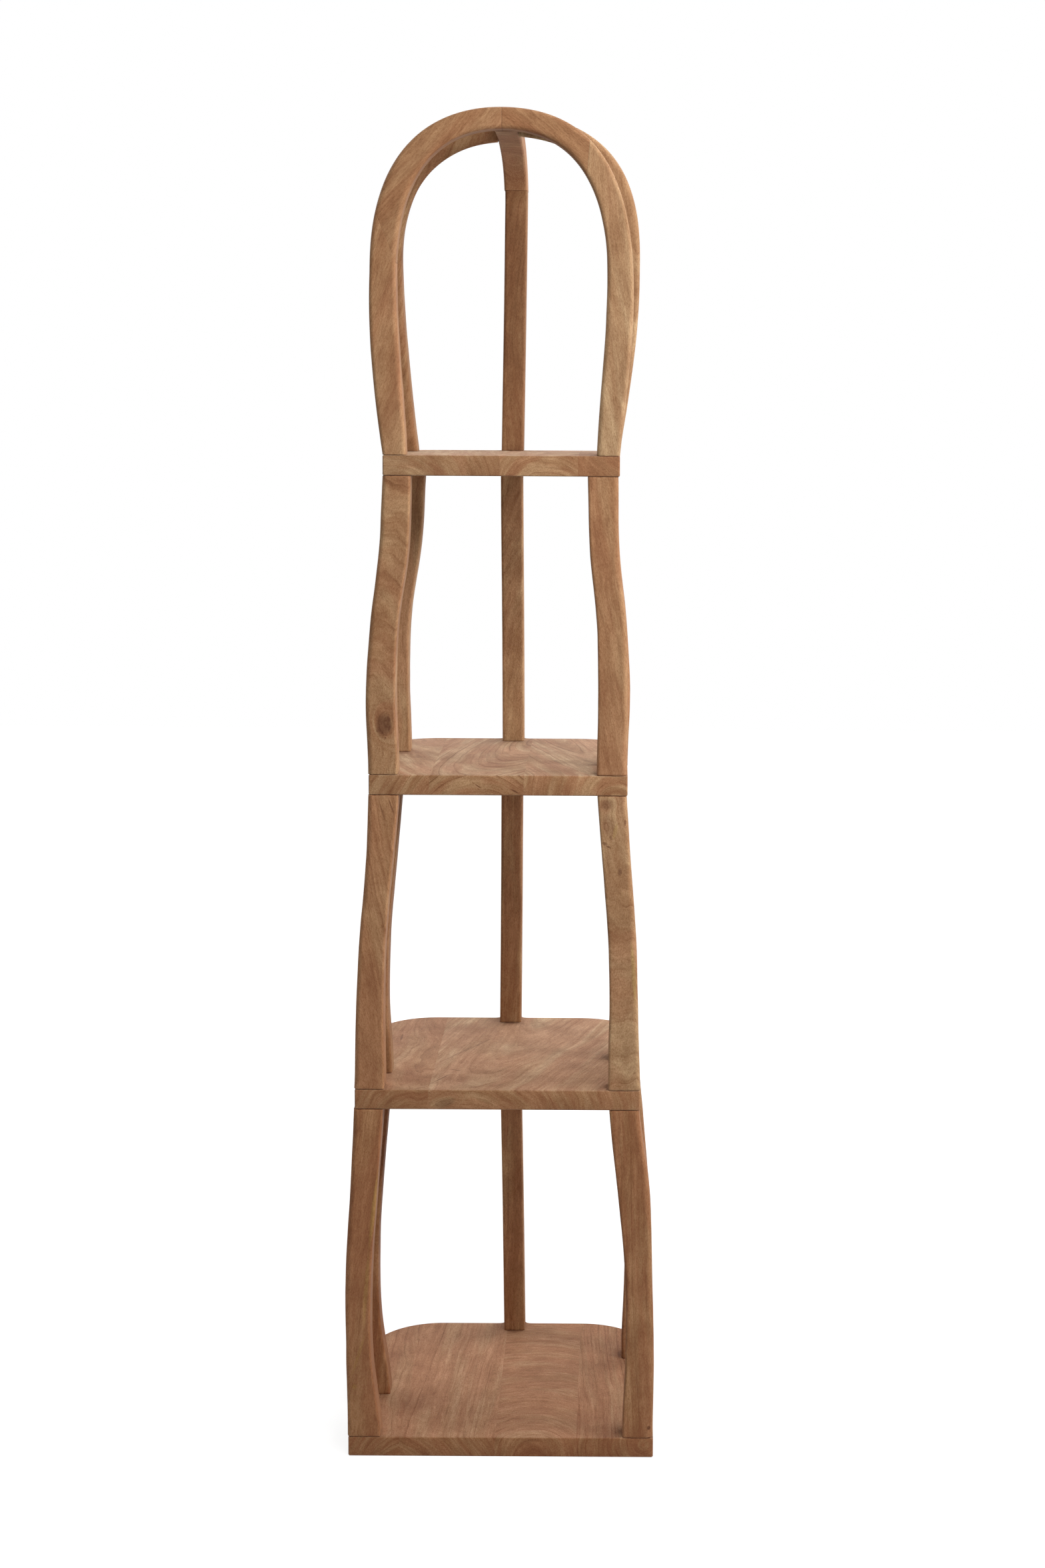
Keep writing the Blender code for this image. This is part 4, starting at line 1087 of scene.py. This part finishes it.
class SHELF_OT_posts(bpy.types.Operator):
    """Fifteen wavy posts sawn from planks, five on each of the three lower boards"""

    bl_idname = "shelf.posts"
    bl_label = "Posts"

    def execute(self, context):
        for tier, posts in enumerate(POSTS):
            for post in posts:
                build_post(tier, post)
        return {"FINISHED"}


class SHELF_OT_front_arch(bpy.types.Operator):
    """The crown's front arch, four pieces with two slanting joints"""

    bl_idname = "shelf.front_arch"
    bl_label = "Front arch"

    def execute(self, context):
        build_front_arch(LEFT)
        build_front_arch(RIGHT)
        return {"FINISHED"}


class SHELF_OT_side_arches(bpy.types.Operator):
    """The crown's two half arches, which lean forward and end at the spine"""

    bl_idname = "shelf.side_arches"
    bl_label = "Side arches"

    def execute(self, context):
        build_side_arch(LEFT)
        build_side_arch(RIGHT)
        return {"FINISHED"}


class SHELF_OT_spine(bpy.types.Operator):
    """The crown's back post and the spine that bends forward from it"""

    bl_idname = "shelf.spine"
    bl_label = "Back post and spine"

    def execute(self, context):
        build_spine()
        return {"FINISHED"}


class SHELF_OT_dowels(bpy.types.Operator):
    """Bare wood for the dowels that hold the posts"""

    bl_idname = "shelf.dowels"
    bl_label = "Dowels"

    def execute(self, context):
        for name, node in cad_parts.items():
            if name.startswith("dowel"):
                node.data.materials.clear()
                node.data.materials.append(wood_for(name))
        return {"FINISHED"}


class SHELF_OT_studio(bpy.types.Operator):
    """Pale floor, white surroundings, soft lamps and the camera"""

    bl_idname = "shelf.studio"
    bl_label = "Studio"

    def execute(self, context):
        build_camera(context)
        build_floor(context)
        build_lamps(context)
        build_world(context)
        return {"FINISHED"}


CAMERA_PLACE = Vector((0.1533, -3.3790, 1.4286))
CAMERA_TIP, CAMERA_ROLL = math.radians(85), math.radians(0.324)
CAMERA_SHIFT = (-0.0599, -0.1116)
SENSOR = 36
WHITE = (1, 1, 1, 1)
FLOOR_REACH = 7.0
FLOOR_GREY, SHADOW_GREY = 0.6, 0.22     # the floor in the shelf's light, and as the camera sees it
SHADOW_NEAR, SHADOW_FAR = 0.35, 1.1     # between these distances the shadow fades out
SHADOW_GLOW = 0.86
# Each lamp's place, the height it is aimed at, its size and the setting that holds its power.
LAMPS = {
    "top_lamp": ((0.2, 1.6, 4.2), 1.0, (2.6, 1.8), "top_power"),
    "rear_left_lamp": ((-2.4, 1.6, 3.0), 1.0, (1.6, 1.6), "rear_power"),
    "rear_right_lamp": ((2.4, 1.6, 3.0), 1.0, (1.6, 1.6), "rear_power"),
    "key_lamp": ((0.85, -1.87, 2.5), 1.4, (1.4, 1.0), "key_power"),
    "side_lamp": ((1.6, -0.6, 1.5), 1.3, (0.8, 0.8), "side_power"),
    "fill_lamp": ((0.4, -1.2, 3.2), 1.0, (1.6, 1.2), "fill_power"),
}


def build_camera(context):
    """A studio camera, tipped 5 degrees down, whose frame is shifted left and down."""
    camera = bpy.data.cameras.new("camera")
    camera.sensor_fit = "AUTO"
    camera.sensor_width = SENSOR
    camera.lens = context.scene.shelf_studio.lens
    camera.shift_x, camera.shift_y = CAMERA_SHIFT
    holder = bpy.data.objects.new("camera", camera)
    context.scene.collection.objects.link(holder)
    turn = Matrix.Rotation(CAMERA_TIP, 4, "X") @ Matrix.Rotation(CAMERA_ROLL, 4, "Z")
    holder.matrix_world = Matrix.Translation(CAMERA_PLACE) @ turn
    context.scene.camera = holder


def seen_by_camera(bench):
    """1 for the rays that show the white background: camera, glossy and transmission rays."""
    path = bench.add("ShaderNodeLightPath").outputs
    seen = bench.math("MAXIMUM", path["Is Camera Ray"], path["Is Glossy Ray"])
    return bench.math("MAXIMUM", seen, path["Is Transmission Ray"])


def build_floor(context):
    """A large pale floor. The camera sees it white, with the shelf's faint shadow near its foot.

    Its glow to the camera rises smoothly with the distance from the shelf.
    """
    mesh = bpy.data.meshes.new("floor")
    corners = [(x * FLOOR_REACH, y * FLOOR_REACH, 0) for x, y in ((-1, -1), (1, -1), (1, 1), (-1, 1))]
    mesh.from_pydata(corners, [], [(0, 1, 2, 3)])
    material = bpy.data.materials.new("pale_floor")
    bench = Bench(material)
    plain = bench.add("ShaderNodeBsdfDiffuse", {"Color": colour((FLOOR_GREY,) * 3)}).outputs[0]
    dim = bench.add("ShaderNodeBsdfDiffuse", {"Color": colour((SHADOW_GREY,) * 3)}).outputs[0]
    away = bench.vector("LENGTH", bench.add("ShaderNodeTexCoord").outputs["Object"])
    strength = bench.span(away, SHADOW_NEAR, SHADOW_FAR, SHADOW_GLOW, 1.0)
    glow = bench.add("ShaderNodeEmission", {"Color": WHITE, "Strength": strength}).outputs[0]
    white = bench.add("ShaderNodeAddShader", {0: dim, 1: glow}).outputs[0]
    mixed = bench.add("ShaderNodeMixShader", {0: seen_by_camera(bench), 1: plain, 2: white}).outputs[0]
    bench.add("ShaderNodeOutputMaterial", {"Surface": mixed})
    mesh.materials.append(material)
    floor = bpy.data.objects.new("floor", mesh)
    context.scene.collection.objects.link(floor)


def build_lamps(context):
    """Large soft lamps above, behind, in front and at the right."""
    for name, (place, aim_height, size, power) in LAMPS.items():
        lamp = bpy.data.lights.new(name, "AREA")
        lamp.shape = "RECTANGLE"
        lamp.size, lamp.size_y = size
        lamp.energy = getattr(context.scene.shelf_studio, power)
        holder = bpy.data.objects.new(name, lamp)
        context.scene.collection.objects.link(holder)
        aim = (Vector((0, 0, aim_height)) - Vector(place)).to_track_quat("-Z", "Y")
        holder.matrix_world = Matrix.Translation(place) @ aim.to_matrix().to_4x4()


def build_world(context):
    """White to the camera and in reflections, a dimmer even light for everything else."""
    world = bpy.data.worlds.new("studio")
    context.scene.world = world
    bench = Bench(world)
    ambient = context.scene.shelf_studio.ambient
    light = bench.add("ShaderNodeBackground", {"Color": WHITE, "Strength": ambient}).outputs[0]
    white = bench.add("ShaderNodeBackground", {"Color": WHITE, "Strength": 1.0}).outputs[0]
    mixed = bench.add("ShaderNodeMixShader", {0: seen_by_camera(bench), 1: light, 2: white}).outputs[0]
    bench.add("ShaderNodeOutputWorld", {"Surface": mixed})


class VIEW3D_PT_shelf(bpy.types.Panel):
    """Lists the steps that build the shelf"""

    bl_label = "Display shelf"
    bl_idname = "VIEW3D_PT_shelf"
    bl_space_type = "VIEW_3D"
    bl_region_type = "UI"
    bl_category = "Shelf"

    def draw(self, context):
        column = self.layout.column()
        for group in (context.scene.shelf_sizes, context.scene.shelf_finish, context.scene.shelf_studio):
            for key in group.__annotations__:
                column.prop(group, key)
        for step in STEPS:
            column.operator(step.bl_idname)


STEPS = (
    SHELF_OT_studio, SHELF_OT_boards, SHELF_OT_posts, SHELF_OT_front_arch, SHELF_OT_side_arches,
    SHELF_OT_spine, SHELF_OT_dowels,
)
CLASSES = (ShelfSizes, WoodFinish, Studio, *STEPS, VIEW3D_PT_shelf)


def register():
    for item in CLASSES:
        bpy.utils.register_class(item)
    bpy.types.Scene.shelf_sizes = PointerProperty(type=ShelfSizes)
    bpy.types.Scene.shelf_finish = PointerProperty(type=WoodFinish)
    bpy.types.Scene.shelf_studio = PointerProperty(type=Studio)


def unregister():
    del bpy.types.Scene.shelf_studio
    del bpy.types.Scene.shelf_finish
    del bpy.types.Scene.shelf_sizes
    for item in reversed(CLASSES):
        bpy.utils.unregister_class(item)


def main():
    register()
    bpy.context.scene.view_settings.view_transform = "Standard"
    for step in (
        bpy.ops.shelf.studio, bpy.ops.shelf.boards, bpy.ops.shelf.posts, bpy.ops.shelf.front_arch,
        bpy.ops.shelf.side_arches, bpy.ops.shelf.spine, bpy.ops.shelf.dowels,
    ):
        step()


if __name__ == "__main__":
    main()
